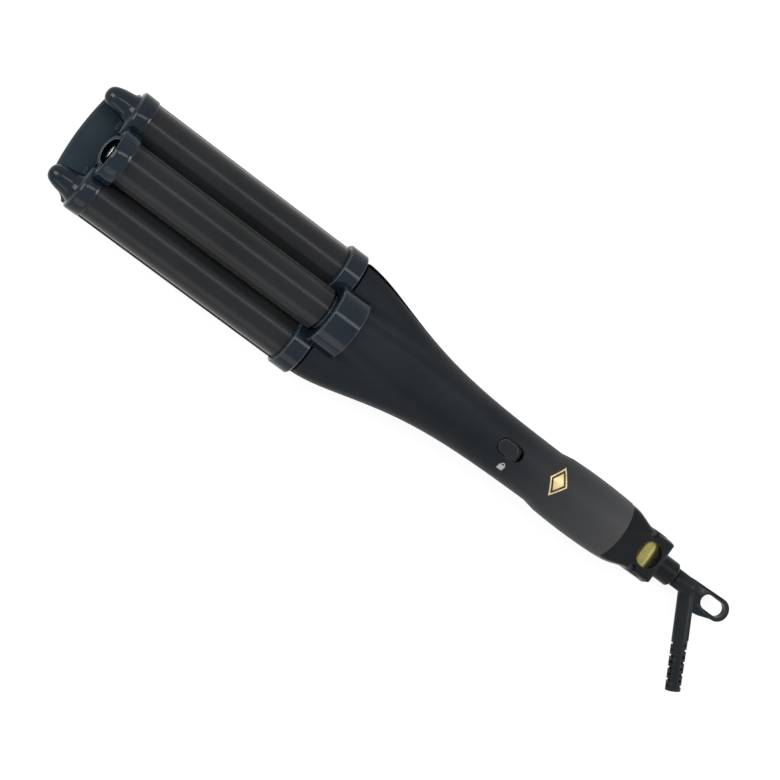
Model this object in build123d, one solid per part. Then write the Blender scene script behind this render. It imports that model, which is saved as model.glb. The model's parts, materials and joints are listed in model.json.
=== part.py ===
from build123d import *
import math
import os

# A three-barrel hair waver.  Sizes are in millimetres.  X runs along the tool, with the barrel tips at
# -X and the cord at +X, Y runs across it and Z is up.  X = 0 and Y = 0 lie on the jaw hinge, and Z = 0
# is the flat face that the tool rests on.

# Barrels
BARREL_R = 11.0
BARREL_WALL = 1.4
BARREL_LENGTH = 113.7        # bare length of a side barrel between its two collars
SIDE_Y = 20.4                # side barrel axes, out from the centre plane
SIDE_Z = 15.5
HAIR_GAP = 0.8               # between the centre barrel and each side barrel when the jaw is shut
HEATER_WIDTH = 13.0
HEATER_THICKNESS = 2.4
HEATER_END_GAP = 0.6         # element to the nearest spigot

# Collars, caps and horns
FRONT_COLLAR_R = 12.3
FRONT_COLLAR_LENGTH = 8.2
REAR_COLLAR_R = 13.7
REAR_COLLAR_LENGTH = 10.0
COLLAR_BEVEL = 0.6
END_WALL = 2.0
CENTER_CAP_R = 13.9
CENTER_CAP_LENGTH = 8.7
CENTER_SETBACK = 1.5         # centre cap behind the side collars
CENTER_COLLAR_R = 16.4
CENTER_COLLAR_LENGTH = 15.5
CENTER_COLLAR_INSET = 10.0   # how far the centre collar reaches into the upper housing
CENTER_COLLAR_GAP = 2.2      # bare spigot between the centre barrel and its rear collar
COLLAR_BORE_R = 4.0
COLLAR_DROP = 1.4            # centre collar's lowest face below the centre barrel
SPIGOT_LENGTH = 8.0
SPIGOT_FIT = 0.3             # radial, in the barrel's bore
HORN_Y = 22.3
HORN_Z = 13.5
HORN_R = 6.8
HORN_LENGTH = 14.6
HORN_ROOT = 1.0              # horn's overlap with its collar
HORN_STRAIGHT = 1.5
NOSE_R = 8.8                 # half the nose's width where it meets the cap
NOSE_LENGTH = 5.2
NOSE_WALL = 1.2
NOSE_DEPTH = 2.0             # nose recess, below the cap's front face
NOSE_RIM_RISE = 3.0          # open rim above the barrel's axis, at the cap
NOSE_SCREW_R = 3.6
NOSE_SCREW_HEIGHT = 1.8

# Toe plate and heat shield
TOE_THICKNESS = 2.6
TOE_ARC_RISE = 2.3
TOE_SETBACK = 1.4            # toe plate's front edge behind the horn tips
TOE_HALF_WIDTH = 26.6        # at its front corners
TOE_CORNER = 1.6
TOE_EDGE_BEVEL = 0.8
TOE_CRADLE_HEIGHT = 6.0
TOE_CRADLE_HALF = 9.5
SHIELD_HALF_WIDTH = 32.2
SHIELD_PROUD = 0.4           # tray out from the lower housing's front corners
SHIELD_HEIGHT = 11.0
SHIELD_WALL = 1.2
SHIELD_TAB_LENGTH = 9.0
SHIELD_TAB_WIDTH = 26.0
SHIELD_PAD_HEIGHT = 3.4      # pad in the lower housing that the tray's tab is screwed to
SHIELD_SCREW_BACK = 5.0      # behind the lower housing's front wall
SHIELD_SCREW_Y = 9.0

# Housings of the two arms
HOUSING_LENGTH = 180.8
HINGE_TO_HOUSING = 21.0      # hinge axis to the upper housing's square rear end
COLLAR_GAP = 1.2             # upper housing behind the side collars
HOUSING_WALL = 2.0
GRIP_HALF_WIDTH = 14.6
UPPER_FRONT_HALF_WIDTH = 31.4
UPPER_WING_HEIGHT = 9.7      # of the two wings beside the centre collar
UPPER_GRIP_HEIGHT = 14.4
WING_POWER = 7.0             # how square the wings are; a plain ellipse has 2
RIDGE_HEIGHT = 12.6          # of the ridge behind the centre collar, above the wings
RIDGE_REACH = 12.8
RIDGE_POWER = 5.0
LOWER_HEIGHT = 15.0
LOWER_FRONT_CROWN = 22.0
LOWER_GRIP_CROWN = 5.0
ARM_GAP = 3.0                # between the facing covers when the jaw is shut
FLARE_REACH = 50.0           # how far back the flare towards the barrels reaches
FLARE_POWER = 1.7
FLARE_STATIONS = 7
BELL_POINTS = 21
POMMEL_LENGTH = 45.4
POMMEL_RAMP = 6.7
POMMEL_STEP = 1.2
POMMEL_SWELL = 1.85
POMMEL_END_SWELL = 1.3
SWELL_SHARE = 0.6            # of a pommel swell that goes into the height
SHOULDER_STEP = 0.3          # shoulder in from the pommel's square end
SHOULDER_FLAT = 2.5          # straight run before the shoulder narrows
COVER_THICKNESS = 2.2
COVER_CLEARANCE = 0.15

# Hinge
BLOCK_HALF_WIDTH = 12.4
BLOCK_FRONT = 4.0            # hinge axis to the block's straight front part
BLOCK_REAR = 8.7
TAIL_REAR = 11.5             # the lower arm's rear end, under and behind the block
BLOCK_HEIGHT = 7.6           # above the upper arm's base
BLOCK_FLANK = 2.5            # rounded flanks of the block's top
BLOCK_EDGE_R = 2.0
BLOCK_CORNER_R = 3.0
JAW_ANGLE = 16.0
TONGUE_LENGTH = 20.0
TONGUE_SCREW_AHEAD = 11.0    # in front of the housing's square end
TONGUE_SCREW_Y = 7.0
TONGUE_SCREW_LENGTH = 8.0
TONGUE_SCREW_SUNK = 1.0
DRUM_R = 6.5
DRUM_BORE_R = 4.8
DRUM_HALF_LENGTH = 7.2
DRUM_END = 1.4
DRUM_BEVEL = 0.4
DRUM_SCREW_X = -3.6
DRUM_SCREW_Y = 4.6
DRUM_SCREW_BITE = 1.3
WINDOW_LENGTH = 12.6
WINDOW_WIDTH = 13.7
WINDOW_CORNER_R = 5.7
EAR_R = 6.0
EAR_GAP = 0.7                # drum end to ear
PIN_R = 2.0
PIN_HALF_LENGTH = 12.1
PIN_BEVEL = 0.3
RUNNING = 0.05               # radial clearance of a running fit
FREE = 0.4                   # radial or side clearance where nothing should touch
SNUG = 0.03                  # clearance of a fixed fit
GRUB_Y = 10.0
GRUB_R = 1.5
GRUB_RECESS_R = 2.1
GRUB_RECESS_DEPTH = 2.4

# Torsion spring on the hinge pin
SPRING_R = 3.5
SPRING_WIRE = 1.1
SPRING_PITCH = 1.5
SPRING_TURNS = 5

# Lock slide
LOCK_X = -93.5               # middle of the slot
LOCK_KNOB_LENGTH = 11.2
LOCK_KNOB_WIDTH = 7.5
LOCK_KNOB_ROUND = 0.6
LOCK_SIDE_GAP = 0.5          # knob to slot, on each side
LOCK_PROUD = 0.9
LOCK_TRAVEL = 3.5
LOCK_CLEARANCE = 0.3
LOCK_PLATE_LENGTH = 18.0
LOCK_PLATE_WIDTH = 10.0
LOCK_PLATE_THICKNESS = 1.6
LOCK_PLATE_DEPTH = 4.6       # slide plate's top face below the crown of the housing
RAIL_WALL = 1.5
RAIL_LEDGE = 1.1             # how far a rail reaches under the slide plate
RAIL_SPARE = 4.0             # rails past the slide plate at each end of its travel
CLAW_AHEAD = 5.0             # claw's front face ahead of the knob's middle
CLAW_ARM_LENGTH = 2.5
CLAW_FOOT_LENGTH = 3.0
CLAW_THICKNESS = 1.5
CLAW_WIDTH = 4.0
CATCH_ROOM = 1.5             # along X, so that the catch leaves the upper arm on its arc
CATCH_OVERHANG = 3.0
CATCH_POST = 2.0
CATCH_HEAD = 1.5
CATCH_REACH = 4.2            # catch's top above the upper cover
CATCH_HEAD_WIDTH = 6.0
CATCH_BASE_LENGTH = 19.0
CATCH_BASE_WIDTH = 12.0
CATCH_BASE_THICKNESS = 1.2

# Controls on the lower arm's inner face
BUTTON_LENGTH = 8.0
BUTTON_WIDTH = 6.0
BUTTON_CORNER_R = 1.5
BUTTON_BEVEL = 0.3
BUTTON_PROUD = 0.8
BUTTON_TRAVEL = 0.8
BUTTON_PITCH = 12.0
BUTTON_CLEARANCE = 0.2
BUTTON_FLANGE = 1.0
BUTTON_FLANGE_THICKNESS = 0.9
BUTTON_STEM_R = 1.5
BUTTON_STEM_GAP = 0.15
MIDDLE_BUTTON_X = -126.0
LENS_BACK = 26.0             # behind the housing's front edge
LENS_LENGTH = 14.0
LENS_WIDTH = 7.0
BOARD_LENGTH = 62.0
BOARD_WIDTH = 17.0
BOARD_THICKNESS = 1.6
BOARD_Z = 7.0
BOARD_LEAD = 6.0             # board's middle ahead of the middle button
BOARD_POST_R = 2.0
SWITCH_SIZE = 6.0
SWITCH_HEIGHT = 1.5
TRIAC_BACK = 13.0
TRIAC_SIZE = 5.0
TRIAC_HEIGHT = 3.0
SOCKET_LENGTH = 4.0
SOCKET_WIDTH = 3.5
SOCKET_HEIGHT = 1.2
BOARD_EDGE = 0.5             # parts on the board in from its edges
FUSE_R = 1.4
FUSE_LENGTH = 10.0
FUSE_LEAD_R = 0.4
FUSE_LEAD_LENGTH = 2.8

# Screws
SCREW_R = 1.25
SCREW_LENGTH = 6.0
SCREW_HEAD_R = 2.4
SCREW_HEAD_HEIGHT = 1.3
SCREW_PLAY = 0.2             # radial, in a through hole
SCREW_SUNK = 0.3             # head below the face that the tool rests on
PILOT_SPARE = 0.5            # pilot hole past the screw's tip
BOSS_R = 3.0
BOSS_INSET = 3.6             # boss axis in from the housing's inner wall
COVER_SCREWS_BACK = (14.0, 118.0)         # behind the housing's front edge
REAR_SCREW_AHEAD = 13.3      # the lower cover's rear pair, in front of the housing's square end

# Cord swivel and strain relief
SWIVEL_Z = 8.0
SWIVEL_R = 6.65
SWIVEL_LENGTH = 12.0
SWIVEL_GAP = 0.3
SWIVEL_BEVEL = 0.8
NECK_R = 4.0
CORD_HOLE_R = 2.4
BUSH_WALL = 1.5
BUSH_LENGTH = 2.2
RING_THICKNESS = 1.0
RING_GROOVE = 0.5
RING_MOUTH = 4.0
NECK_LIP = 0.7               # neck in front of the ring's groove
CHANNEL_R = 2.4
CHANNEL_Z = 6.0
RELIEF_NECK_R = 4.9
RELIEF_BEND_X = 34.1
BRANCH_ANGLE = -60.4         # from +X, seen from above
BRANCH_LENGTH = 54.0
BRANCH_ROOT_R = 4.45
BRANCH_TIP_R = 4.0
CORD_BORE_R = 2.9
CORD_BORE_LENGTH = 18.0
RIB_COUNT = 8
RIB_PITCH = 3.1
RIB_SLOT = 1.4
RIB_CORE_WALL = 0.5
RIB_END = 2.4
LOOP_END_X = 60.6
LOOP_Y = -0.5
LOOP_R = 6.2
LOOP_THICKNESS = 4.6
LOOP_HOLE_LENGTH = 14.9
LOOP_HOLE_WIDTH = 8.0

# Wires
LEAD_R = 1.1
LEAD_PLAY = 1.2
LEAD_RISE = 3.4              # side leads above the bottom of the barrel's bore
LEAD_RUN = 8.0               # straight run behind the housing's front edge
LEAD_Y = 6.2
LEAD_BEND = 14.0             # last bend ahead of the board
SUPPLY_R = 1.7
SUPPLY_START = 10.0          # behind the board's middle
SUPPLY_RISE = 14.0           # where the supply lead rises, ahead of the square end
WIRE_GAP = 0.6
WIRE_BEND_R = 4.0
UPPER_LEAD_Y = 4.6
UPPER_LEAD_RUN = 6.0
UPPER_LEAD_DROP = 24.0

# Places that follow from the sizes above
HOUSING_REAR_X = -HINGE_TO_HOUSING
HOUSING_FRONT_X = HOUSING_REAR_X - HOUSING_LENGTH
SEAT_X = HOUSING_FRONT_X - COLLAR_GAP                # front face of the lower housing
BARREL_REAR_X = SEAT_X - REAR_COLLAR_LENGTH
BARREL_FRONT_X = BARREL_REAR_X - BARREL_LENGTH
CAP_FRONT_X = BARREL_FRONT_X - FRONT_COLLAR_LENGTH
HORN_TIP_X = CAP_FRONT_X - HORN_LENGTH
CENTER_Z = SIDE_Z + math.sqrt((2 * BARREL_R + HAIR_GAP) ** 2 - SIDE_Y ** 2)
BARREL_BORE_R = BARREL_R - BARREL_WALL
SPIGOT_R = BARREL_BORE_R - SPIGOT_FIT
CENTER_CAP_REAR_X = BARREL_FRONT_X + CENTER_SETBACK
CENTER_CAP_FRONT_X = CENTER_CAP_REAR_X - CENTER_CAP_LENGTH
CENTER_COLLAR_REAR_X = HOUSING_FRONT_X + CENTER_COLLAR_INSET
CENTER_COLLAR_FRONT_X = CENTER_COLLAR_REAR_X - CENTER_COLLAR_LENGTH
CENTER_BARREL_FRONT_X = BARREL_FRONT_X + FREE
CENTER_BARREL_REAR_X = CENTER_COLLAR_FRONT_X - CENTER_COLLAR_GAP
HEATER_FRONT_X = CENTER_BARREL_FRONT_X + SPIGOT_LENGTH + HEATER_END_GAP
HEATER_REAR_X = min(CENTER_BARREL_REAR_X, BARREL_REAR_X) - SPIGOT_LENGTH - HEATER_END_GAP
UPPER_BASE_Z = LOWER_HEIGHT + ARM_GAP
HINGE_Z = LOWER_HEIGHT + ARM_GAP / 2
POMMEL_X = HOUSING_REAR_X - POMMEL_LENGTH
UPPER_COVER_TOP_Z = UPPER_BASE_Z + COVER_THICKNESS
LOWER_COVER_BOTTOM_Z = LOWER_HEIGHT - COVER_THICKNESS
BLOCK_TOP_Z = UPPER_BASE_Z + BLOCK_HEIGHT
TONGUE_FRONT_X = HOUSING_REAR_X - TONGUE_LENGTH
EAR_IN = DRUM_HALF_LENGTH + EAR_GAP
GRUB_X = -(PIN_R + SNUG + GRUB_R)                    # the grub screws lie against the pin's flank
BUSH_R = NECK_R + RUNNING + BUSH_WALL
RING_REAR_X = TAIL_REAR - BUSH_LENGTH - SWIVEL_GAP
RING_FRONT_X = RING_REAR_X - RING_THICKNESS
NECK_FRONT_X = RING_FRONT_X - NECK_LIP
BOARD_MID_X = MIDDLE_BUTTON_X - BOARD_LEAD
BOARD_FRONT_X = BOARD_MID_X - BOARD_LENGTH / 2
BOARD_TOP_Z = BOARD_Z + BOARD_THICKNESS
LENS_X = HOUSING_FRONT_X + LENS_BACK
SIDE_LEAD_Z = SIDE_Z - BARREL_BORE_R + LEAD_RISE
LOCK_PLATE_TOP = UPPER_BASE_Z + UPPER_GRIP_HEIGHT - LOCK_PLATE_DEPTH
LOCK_PLATE_Z = LOCK_PLATE_TOP - LOCK_PLATE_THICKNESS
KNOB_X = LOCK_X - LOCK_TRAVEL / 2                    # with the slide at rest
CLAW_X = KNOB_X - CLAW_AHEAD
CLAW_END_X = CLAW_X + CLAW_ARM_LENGTH + CLAW_FOOT_LENGTH
CATCH_X = CLAW_END_X + CATCH_ROOM
CATCH_POST_X = CATCH_X + CATCH_OVERHANG
CATCH_REAR_X = CATCH_POST_X + CATCH_POST
CATCH_TOP_Z = UPPER_COVER_TOP_Z + CATCH_REACH
CLAW_TOP_Z = CATCH_TOP_Z - CATCH_HEAD - LOCK_CLEARANCE
WIDE = 100.0                 # past every piece, for cuts and halves


def rod_x(radius, x0, x1, y=0.0, z=0.0):
    """A round bar along X."""
    return Pos((x0 + x1) / 2, y, z) * Rot(0, 90, 0) * Cylinder(radius, x1 - x0)


def rod_y(radius, y0, y1, x=0.0, z=0.0):
    """A round bar along Y."""
    return Pos(x, (y0 + y1) / 2, z) * Rot(90, 0, 0) * Cylinder(radius, y1 - y0)


def rod_z(radius, z0, z1, x=0.0, y=0.0):
    """A round bar along Z."""
    return Pos(x, y, (z0 + z1) / 2) * Cylinder(radius, z1 - z0)


def block(x0, x1, y0, y1, z0, z1):
    """A rectangular block between two opposite corners."""
    return Pos((x0 + x1) / 2, (y0 + y1) / 2, (z0 + z1) / 2) * Box(x1 - x0, y1 - y0, z1 - z0)


def slab(x0, x1, half_width, z0, z1):
    """A rectangular block that is centred on the plane of symmetry."""
    return block(x0, x1, -half_width, half_width, z0, z1)


def rounded_block(length, width, z0, z1, radius, x=0.0, y=0.0):
    """An upright block with rounded corners in plan."""
    plan = Pos(x, y, z0) * RectangleRounded(length, width, radius)
    return extrude(plan, z1 - z0)


def both_sides(shape):
    """The shape with its mirror image across the centre plane."""
    return shape + mirror(shape, about=Plane.XZ)


def turned_x(outline, y=0.0, z=0.0):
    """A solid turned about an axis along X from (x, radius) points."""
    return Pos(0, y, z) * revolve(make_face(Polyline(*outline, close=True)), Axis.X)


def spaced(first, last, count):
    """Evenly spaced values from first to last."""
    return [first + (last - first) * i / (count - 1) for i in range(count)]


# ---- Housings -------------------------------------------------------------------------------------

def flare(front, grip, x):
    """A size at x that falls smoothly from its front value to its grip value."""
    reach = max(x - HOUSING_FRONT_X, 0) / FLARE_REACH
    return grip + (front - grip) * math.exp(-reach ** FLARE_POWER)


def across_x(x):
    """The plane across the tool at x, drawn in (y, z)."""
    return Plane(origin=(x, 0, 0), x_dir=(0, 1, 0), z_dir=(1, 0, 0))


def dome_face(x, half_width, crown, height):
    """A section at x: flat base, two quarter-ellipse flanks and a short flat crown."""
    flank = half_width - crown
    outline = [
        Line((-half_width, 0), (half_width, 0)),
        EllipticalCenterArc((crown, 0), flank, height, start_angle=0, arc_size=90),
        Line((crown, height), (-crown, height)),
        EllipticalCenterArc((-crown, 0), flank, height, start_angle=90, arc_size=90),
    ]
    return across_x(x) * make_face(outline)


def bell_face(x, half_width, wing, wing_power, ridge, ridge_reach):
    """A section at x: flat base under one smooth line over two wings and the ridge between them."""
    points = []
    for angle in spaced(-90, 90, BELL_POINTS):
        share = math.sin(math.radians(angle))
        fall = math.sqrt(1 - abs(share) ** wing_power)
        bump = math.exp(-abs(half_width * share / ridge_reach) ** RIDGE_POWER)
        points.append((half_width * share, fall * (wing + ridge * bump)))
    line = Spline(*points, tangents=[(0, 1), (0, -1)])
    return across_x(x) * make_face([line, Line(points[-1], points[0])])


def upper_section(x, inset, swell=0.0):
    """The upper housing's section at x, drawn in by inset."""
    return bell_face(
        x, flare(UPPER_FRONT_HALF_WIDTH, GRIP_HALF_WIDTH, x) + swell - inset,
        flare(UPPER_WING_HEIGHT, UPPER_GRIP_HEIGHT, x) + SWELL_SHARE * swell - inset,
        flare(WING_POWER, 2.0, x), flare(RIDGE_HEIGHT, 0.0, x), RIDGE_REACH - inset)


def lower_section(x, inset, swell=0.0):
    """The lower housing's section at x, as a dome that is turned over later."""
    half_width = flare(SHIELD_HALF_WIDTH - SHIELD_PROUD, GRIP_HALF_WIDTH, x) + swell - inset
    return dome_face(x, half_width, flare(LOWER_FRONT_CROWN, LOWER_GRIP_CROWN, x), LOWER_HEIGHT - inset)


def arm_form(section, front_x, inset):
    """An arm's outer form, or its hollow when drawn in: flare, then the stepped pommel of the grip."""
    ramp_x = POMMEL_X + POMMEL_RAMP
    middle_x = (ramp_x + HOUSING_REAR_X) / 2
    flare_part = loft([section(x, inset) for x in spaced(front_x, POMMEL_X, FLARE_STATIONS)])
    ramp = loft([section(POMMEL_X, inset), section(ramp_x, inset, POMMEL_STEP)])
    swells = [(ramp_x, POMMEL_STEP), (middle_x, POMMEL_SWELL), (HOUSING_REAR_X, POMMEL_END_SWELL)]
    pommel = loft([section(x, inset, swell) for x, swell in swells])
    return flare_part + ramp + pommel


def upper_form(inset=0.0):
    return Pos(0, 0, UPPER_BASE_Z) * arm_form(upper_section, HOUSING_FRONT_X, inset)


def turned_over(dome):
    """Turn a dome over so that it hangs from the lower arm's parting plane."""
    return Pos(0, 0, LOWER_HEIGHT) * mirror(dome, about=Plane.XY)


def lower_form(inset=0.0):
    return turned_over(arm_form(lower_section, SEAT_X, inset))


def shoulder_half_width(x):
    """The S-curve from the pommel's width down to the hinge block's width."""
    wide = GRIP_HALF_WIDTH + POMMEL_END_SWELL - SHOULDER_STEP
    start_x = HOUSING_REAR_X + SHOULDER_FLAT
    share = max(x - start_x, 0) / (-BLOCK_FRONT - start_x)
    return BLOCK_HALF_WIDTH + (wide - BLOCK_HALF_WIDTH) * (1 + math.cos(math.pi * share)) / 2


def shoulder_form(section):
    """The solid that runs from the square end of a housing to the hinge block."""
    return loft([section(x) for x in spaced(HOUSING_REAR_X, -BLOCK_FRONT, 5)])


def block_plan(rear, z0, z1):
    """The plan over the hinge, round-cornered at the rear, between two heights."""
    ahead = slab(-BLOCK_FRONT, 0, BLOCK_HALF_WIDTH, z0, z1)
    behind = rounded_block(2 * rear, 2 * BLOCK_HALF_WIDTH, z0, z1, BLOCK_CORNER_R)
    return ahead + (behind & slab(0, rear, BLOCK_HALF_WIDTH, z0, z1))


def boss_y(x):
    """How far out the cover screws stand at x."""
    return flare(UPPER_FRONT_HALF_WIDTH, GRIP_HALF_WIDTH, x) - HOUSING_WALL - BOSS_INSET


def screw_pairs(xs):
    """(x, y) of a pair of cover screws at each x."""
    return [(x, side * boss_y(x)) for x in xs for side in (-1, 1)]


FRONT_SCREW_XS = [HOUSING_FRONT_X + back for back in COVER_SCREWS_BACK]
UPPER_SCREWS = screw_pairs(FRONT_SCREW_XS)
LOWER_SCREWS = screw_pairs([*FRONT_SCREW_XS, HOUSING_REAR_X - REAR_SCREW_AHEAD])
SHIELD_SCREWS = [(SEAT_X + HOUSING_WALL + SHIELD_SCREW_BACK, side * SHIELD_SCREW_Y) for side in (-1, 1)]
DRUM_SCREWS = [(DRUM_SCREW_X, side * DRUM_SCREW_Y) for side in (-1, 1)]
TONGUE_SCREWS = [(HOUSING_REAR_X - TONGUE_SCREW_AHEAD, side * TONGUE_SCREW_Y) for side in (-1, 1)]


def screw_down(x, y, top_z):
    """A pan-head screw, head uppermost, its head's top at top_z."""
    shank_z = top_z - SCREW_HEAD_HEIGHT
    return rod_z(SCREW_HEAD_R, shank_z, top_z, x, y) + rod_z(SCREW_R, shank_z - SCREW_LENGTH, shank_z, x, y)


def screw_up(x, y, bottom_z, length=SCREW_LENGTH):
    """A pan-head screw, head lowermost, its head's underside at bottom_z."""
    shank_z = bottom_z + SCREW_HEAD_HEIGHT
    return rod_z(SCREW_HEAD_R, bottom_z, shank_z, x, y) + rod_z(SCREW_R, shank_z, shank_z + length, x, y)


def pilots(places, z0, z1):
    """Pilot holes that the screws' threads hold in."""
    return [rod_z(SCREW_R + SNUG, z0, z1, x, y) for x, y in places]


def screw_holes(places, z0, z1, head_z0, head_z1):
    """Counterbored through holes, with the screw heads' room between head_z0 and head_z1."""
    shanks = [rod_z(SCREW_R + SCREW_PLAY, z0, z1, x, y) for x, y in places]
    return shanks + [rod_z(SCREW_HEAD_R + SCREW_PLAY, head_z0, head_z1, x, y) for x, y in places]


def sunk_holes(places, top_z):
    """Counterbored screw holes up through the floor that the tool rests on."""
    return screw_holes(places, -1, top_z, -1, SCREW_SUNK + SCREW_HEAD_HEIGHT + SNUG)


# ---- Lower arm ------------------------------------------------------------------------------------

def tail_section(x):
    """The lower arm's section behind the pommel, as a dome that is turned over later."""
    return dome_face(x, shoulder_half_width(x), LOWER_GRIP_CROWN - SHOULDER_STEP, LOWER_HEIGHT)


def lower_tail():
    """The lower arm's rear end under the hinge block."""
    bar = turned_over(extrude(tail_section(-BLOCK_FRONT), BLOCK_FRONT + TAIL_REAR))
    return (bar & block_plan(TAIL_REAR, 0, LOWER_HEIGHT)) + turned_over(shoulder_form(tail_section))


def tail_cuts():
    """Cuts in the tail: one trough for drum and ears, the swivel's bush and ring, cord channel, screws."""
    room_x = NECK_FRONT_X - FREE
    return [
        rod_y(DRUM_R + SNUG, -BLOCK_HALF_WIDTH - 1, BLOCK_HALF_WIDTH + 1, 0, HINGE_Z),
        rod_x(BUSH_R, room_x, TAIL_REAR + 1, 0, SWIVEL_Z),
        slab(room_x, RING_REAR_X + FREE, BUSH_R, SWIVEL_Z, LOWER_HEIGHT + 1),
        rod_x(CHANNEL_R, HOUSING_REAR_X - HOUSING_WALL - 1, RING_REAR_X, 0, CHANNEL_Z),
        *sunk_holes(DRUM_SCREWS, HINGE_Z),
    ]


def board_posts():
    """Four posts that the circuit board's corners rest on."""
    along = BOARD_LENGTH / 2 - BOARD_POST_R
    across = BOARD_WIDTH / 2 - BOARD_POST_R
    return [rod_z(BOARD_POST_R, 0, BOARD_Z, BOARD_MID_X + end * along, side * across)
            for end in (-1, 1) for side in (-1, 1)]


def lower_housing():
    """The lower arm's moulded shell, open upward, with its bosses and tail."""
    room = slab(SEAT_X + HOUSING_WALL, HOUSING_REAR_X - HOUSING_WALL, WIDE, -1, LOWER_HEIGHT + 1)
    hollow = lower_form(HOUSING_WALL) & room
    bosses = [rod_z(BOSS_R, 0, LOWER_COVER_BOTTOM_Z, x, y) for x, y in LOWER_SCREWS]
    pad = slab(SEAT_X, SEAT_X + HOUSING_WALL + SHIELD_TAB_LENGTH, SHIELD_TAB_WIDTH / 2, 0, SHIELD_PAD_HEIGHT)
    fittings = lower_form(HOUSING_WALL / 2) & (pad + bosses + board_posts())
    shell = lower_form() - hollow + fittings + lower_tail()
    pilot_z = LOWER_HEIGHT - SCREW_HEAD_HEIGHT - SCREW_LENGTH - PILOT_SPARE
    wire_hole = rod_x(LEAD_R + LEAD_PLAY, SEAT_X - 1, SEAT_X + HOUSING_WALL + 1, SIDE_Y, SIDE_LEAD_Z)
    shell = shell - pilots(LOWER_SCREWS, pilot_z, LOWER_HEIGHT) - both_sides(wire_hole)
    return shell - shield_tab(COVER_CLEARANCE) - sunk_holes(SHIELD_SCREWS, LOWER_HEIGHT) - tail_cuts()


def lower_inner_cover():
    """The flat cover of the lower arm, with openings for buttons, lens, lock catch and screws."""
    z0, z1 = LOWER_COVER_BOTTOM_Z - 1, LOWER_HEIGHT + 1
    front_x = SEAT_X + HOUSING_WALL + COVER_CLEARANCE
    rear_x = HOUSING_REAR_X - HOUSING_WALL - COVER_CLEARANCE
    plate = lower_form(HOUSING_WALL + COVER_CLEARANCE) & slab(
        front_x, rear_x, WIDE, LOWER_COVER_BOTTOM_Z, LOWER_HEIGHT)
    length = BUTTON_LENGTH + 2 * BUTTON_CLEARANCE
    width = BUTTON_WIDTH + 2 * BUTTON_CLEARANCE
    cuts = [rounded_block(length, width, z0, z1, BUTTON_CORNER_R, x) for x in button_xs()]
    cuts.append(slab(LENS_X - LENS_LENGTH / 2 - SNUG, LENS_X + LENS_LENGTH / 2 + SNUG,
                     LENS_WIDTH / 2 + SNUG, z0, z1))
    cuts.append(catch_opening(z0, z1, LOCK_CLEARANCE))
    head_z = LOWER_HEIGHT - SCREW_HEAD_HEIGHT - SNUG
    return plate - cuts - screw_holes(LOWER_SCREWS, z0, z1, head_z, z1)


def catch_opening(z0, z1, room):
    """The opening that the catch's head passes, with some room along the tool."""
    return slab(CATCH_X - room, CATCH_REAR_X + room, CATCH_HEAD_WIDTH / 2 + LOCK_CLEARANCE, z0, z1)


def catch_plate():
    """The steel catch: a base under the lower cover and a post whose head the lock's claw slides under."""
    top_z = LOWER_COVER_BOTTOM_Z
    half = CATCH_HEAD_WIDTH / 2
    base = rounded_block(CATCH_BASE_LENGTH, CATCH_BASE_WIDTH, top_z - CATCH_BASE_THICKNESS, top_z,
                         BUTTON_CORNER_R, CATCH_POST_X)
    post = slab(CATCH_POST_X, CATCH_REAR_X, half, top_z - CATCH_BASE_THICKNESS, CATCH_TOP_Z)
    return base + post + slab(CATCH_X, CATCH_REAR_X, half, CATCH_TOP_Z - CATCH_HEAD, CATCH_TOP_Z)


def heat_shield_tray():
    """The trough under the side barrels, with a tab that is screwed inside the lower housing."""
    outer = dome_face(BARREL_FRONT_X, SHIELD_HALF_WIDTH, LOWER_FRONT_CROWN, SHIELD_HEIGHT)
    inner = dome_face(BARREL_FRONT_X, SHIELD_HALF_WIDTH - SHIELD_WALL, LOWER_FRONT_CROWN,
                      SHIELD_HEIGHT - SHIELD_WALL)
    trough = extrude(outer - inner, SEAT_X - BARREL_FRONT_X)
    trough = Pos(0, 0, SHIELD_HEIGHT) * mirror(trough, about=Plane.XY)
    collar = rod_x(REAR_COLLAR_R + COVER_CLEARANCE, BARREL_REAR_X - FREE, SEAT_X + 1, SIDE_Y, SIDE_Z)
    return trough - both_sides(collar) + shield_tab() - pilots(SHIELD_SCREWS, -1, SHIELD_HEIGHT)


def shield_tab(clearance=0.0):
    """The tray's rear tab, stepped up through the lower housing's front wall onto its pad."""
    half = SHIELD_TAB_WIDTH / 2 + clearance
    floor_z = SHIELD_PAD_HEIGHT + SNUG - clearance
    top_z = SHIELD_PAD_HEIGHT + SNUG + SHIELD_WALL + clearance
    tab = slab(SEAT_X - SHIELD_WALL, SEAT_X + HOUSING_WALL + SHIELD_TAB_LENGTH, half, floor_z, top_z)
    return tab + slab(SEAT_X - SHIELD_WALL, SEAT_X, half, 0, top_z)


def toe_outline():
    """Half of the toe plate's plan, from the middle of its arched front edge round to the centre plane."""
    front_x = HORN_TIP_X + TOE_SETBACK
    side_y = SHIELD_HALF_WIDTH - SHIELD_WALL
    corner_x = front_x + TOE_ARC_RISE
    corner_y = TOE_HALF_WIDTH - TOE_CORNER
    arch = ThreePointArc((corner_x, -corner_y), (front_x, 0), (corner_x, corner_y)).trim(0.5, 1)
    corner = Spline((corner_x, corner_y), (corner_x + TOE_CORNER, TOE_HALF_WIDTH),
                    tangents=[arch % 1, (1, 0.2)])
    side = Spline(corner @ 1, (CAP_FRONT_X, side_y), tangents=[(1, 0.2), (0.5, 1)])
    rest = Polyline(side @ 1, (BARREL_FRONT_X, side_y), (BARREL_FRONT_X, 0), (front_x, 0))
    return [arch, corner, side, rest]


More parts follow.
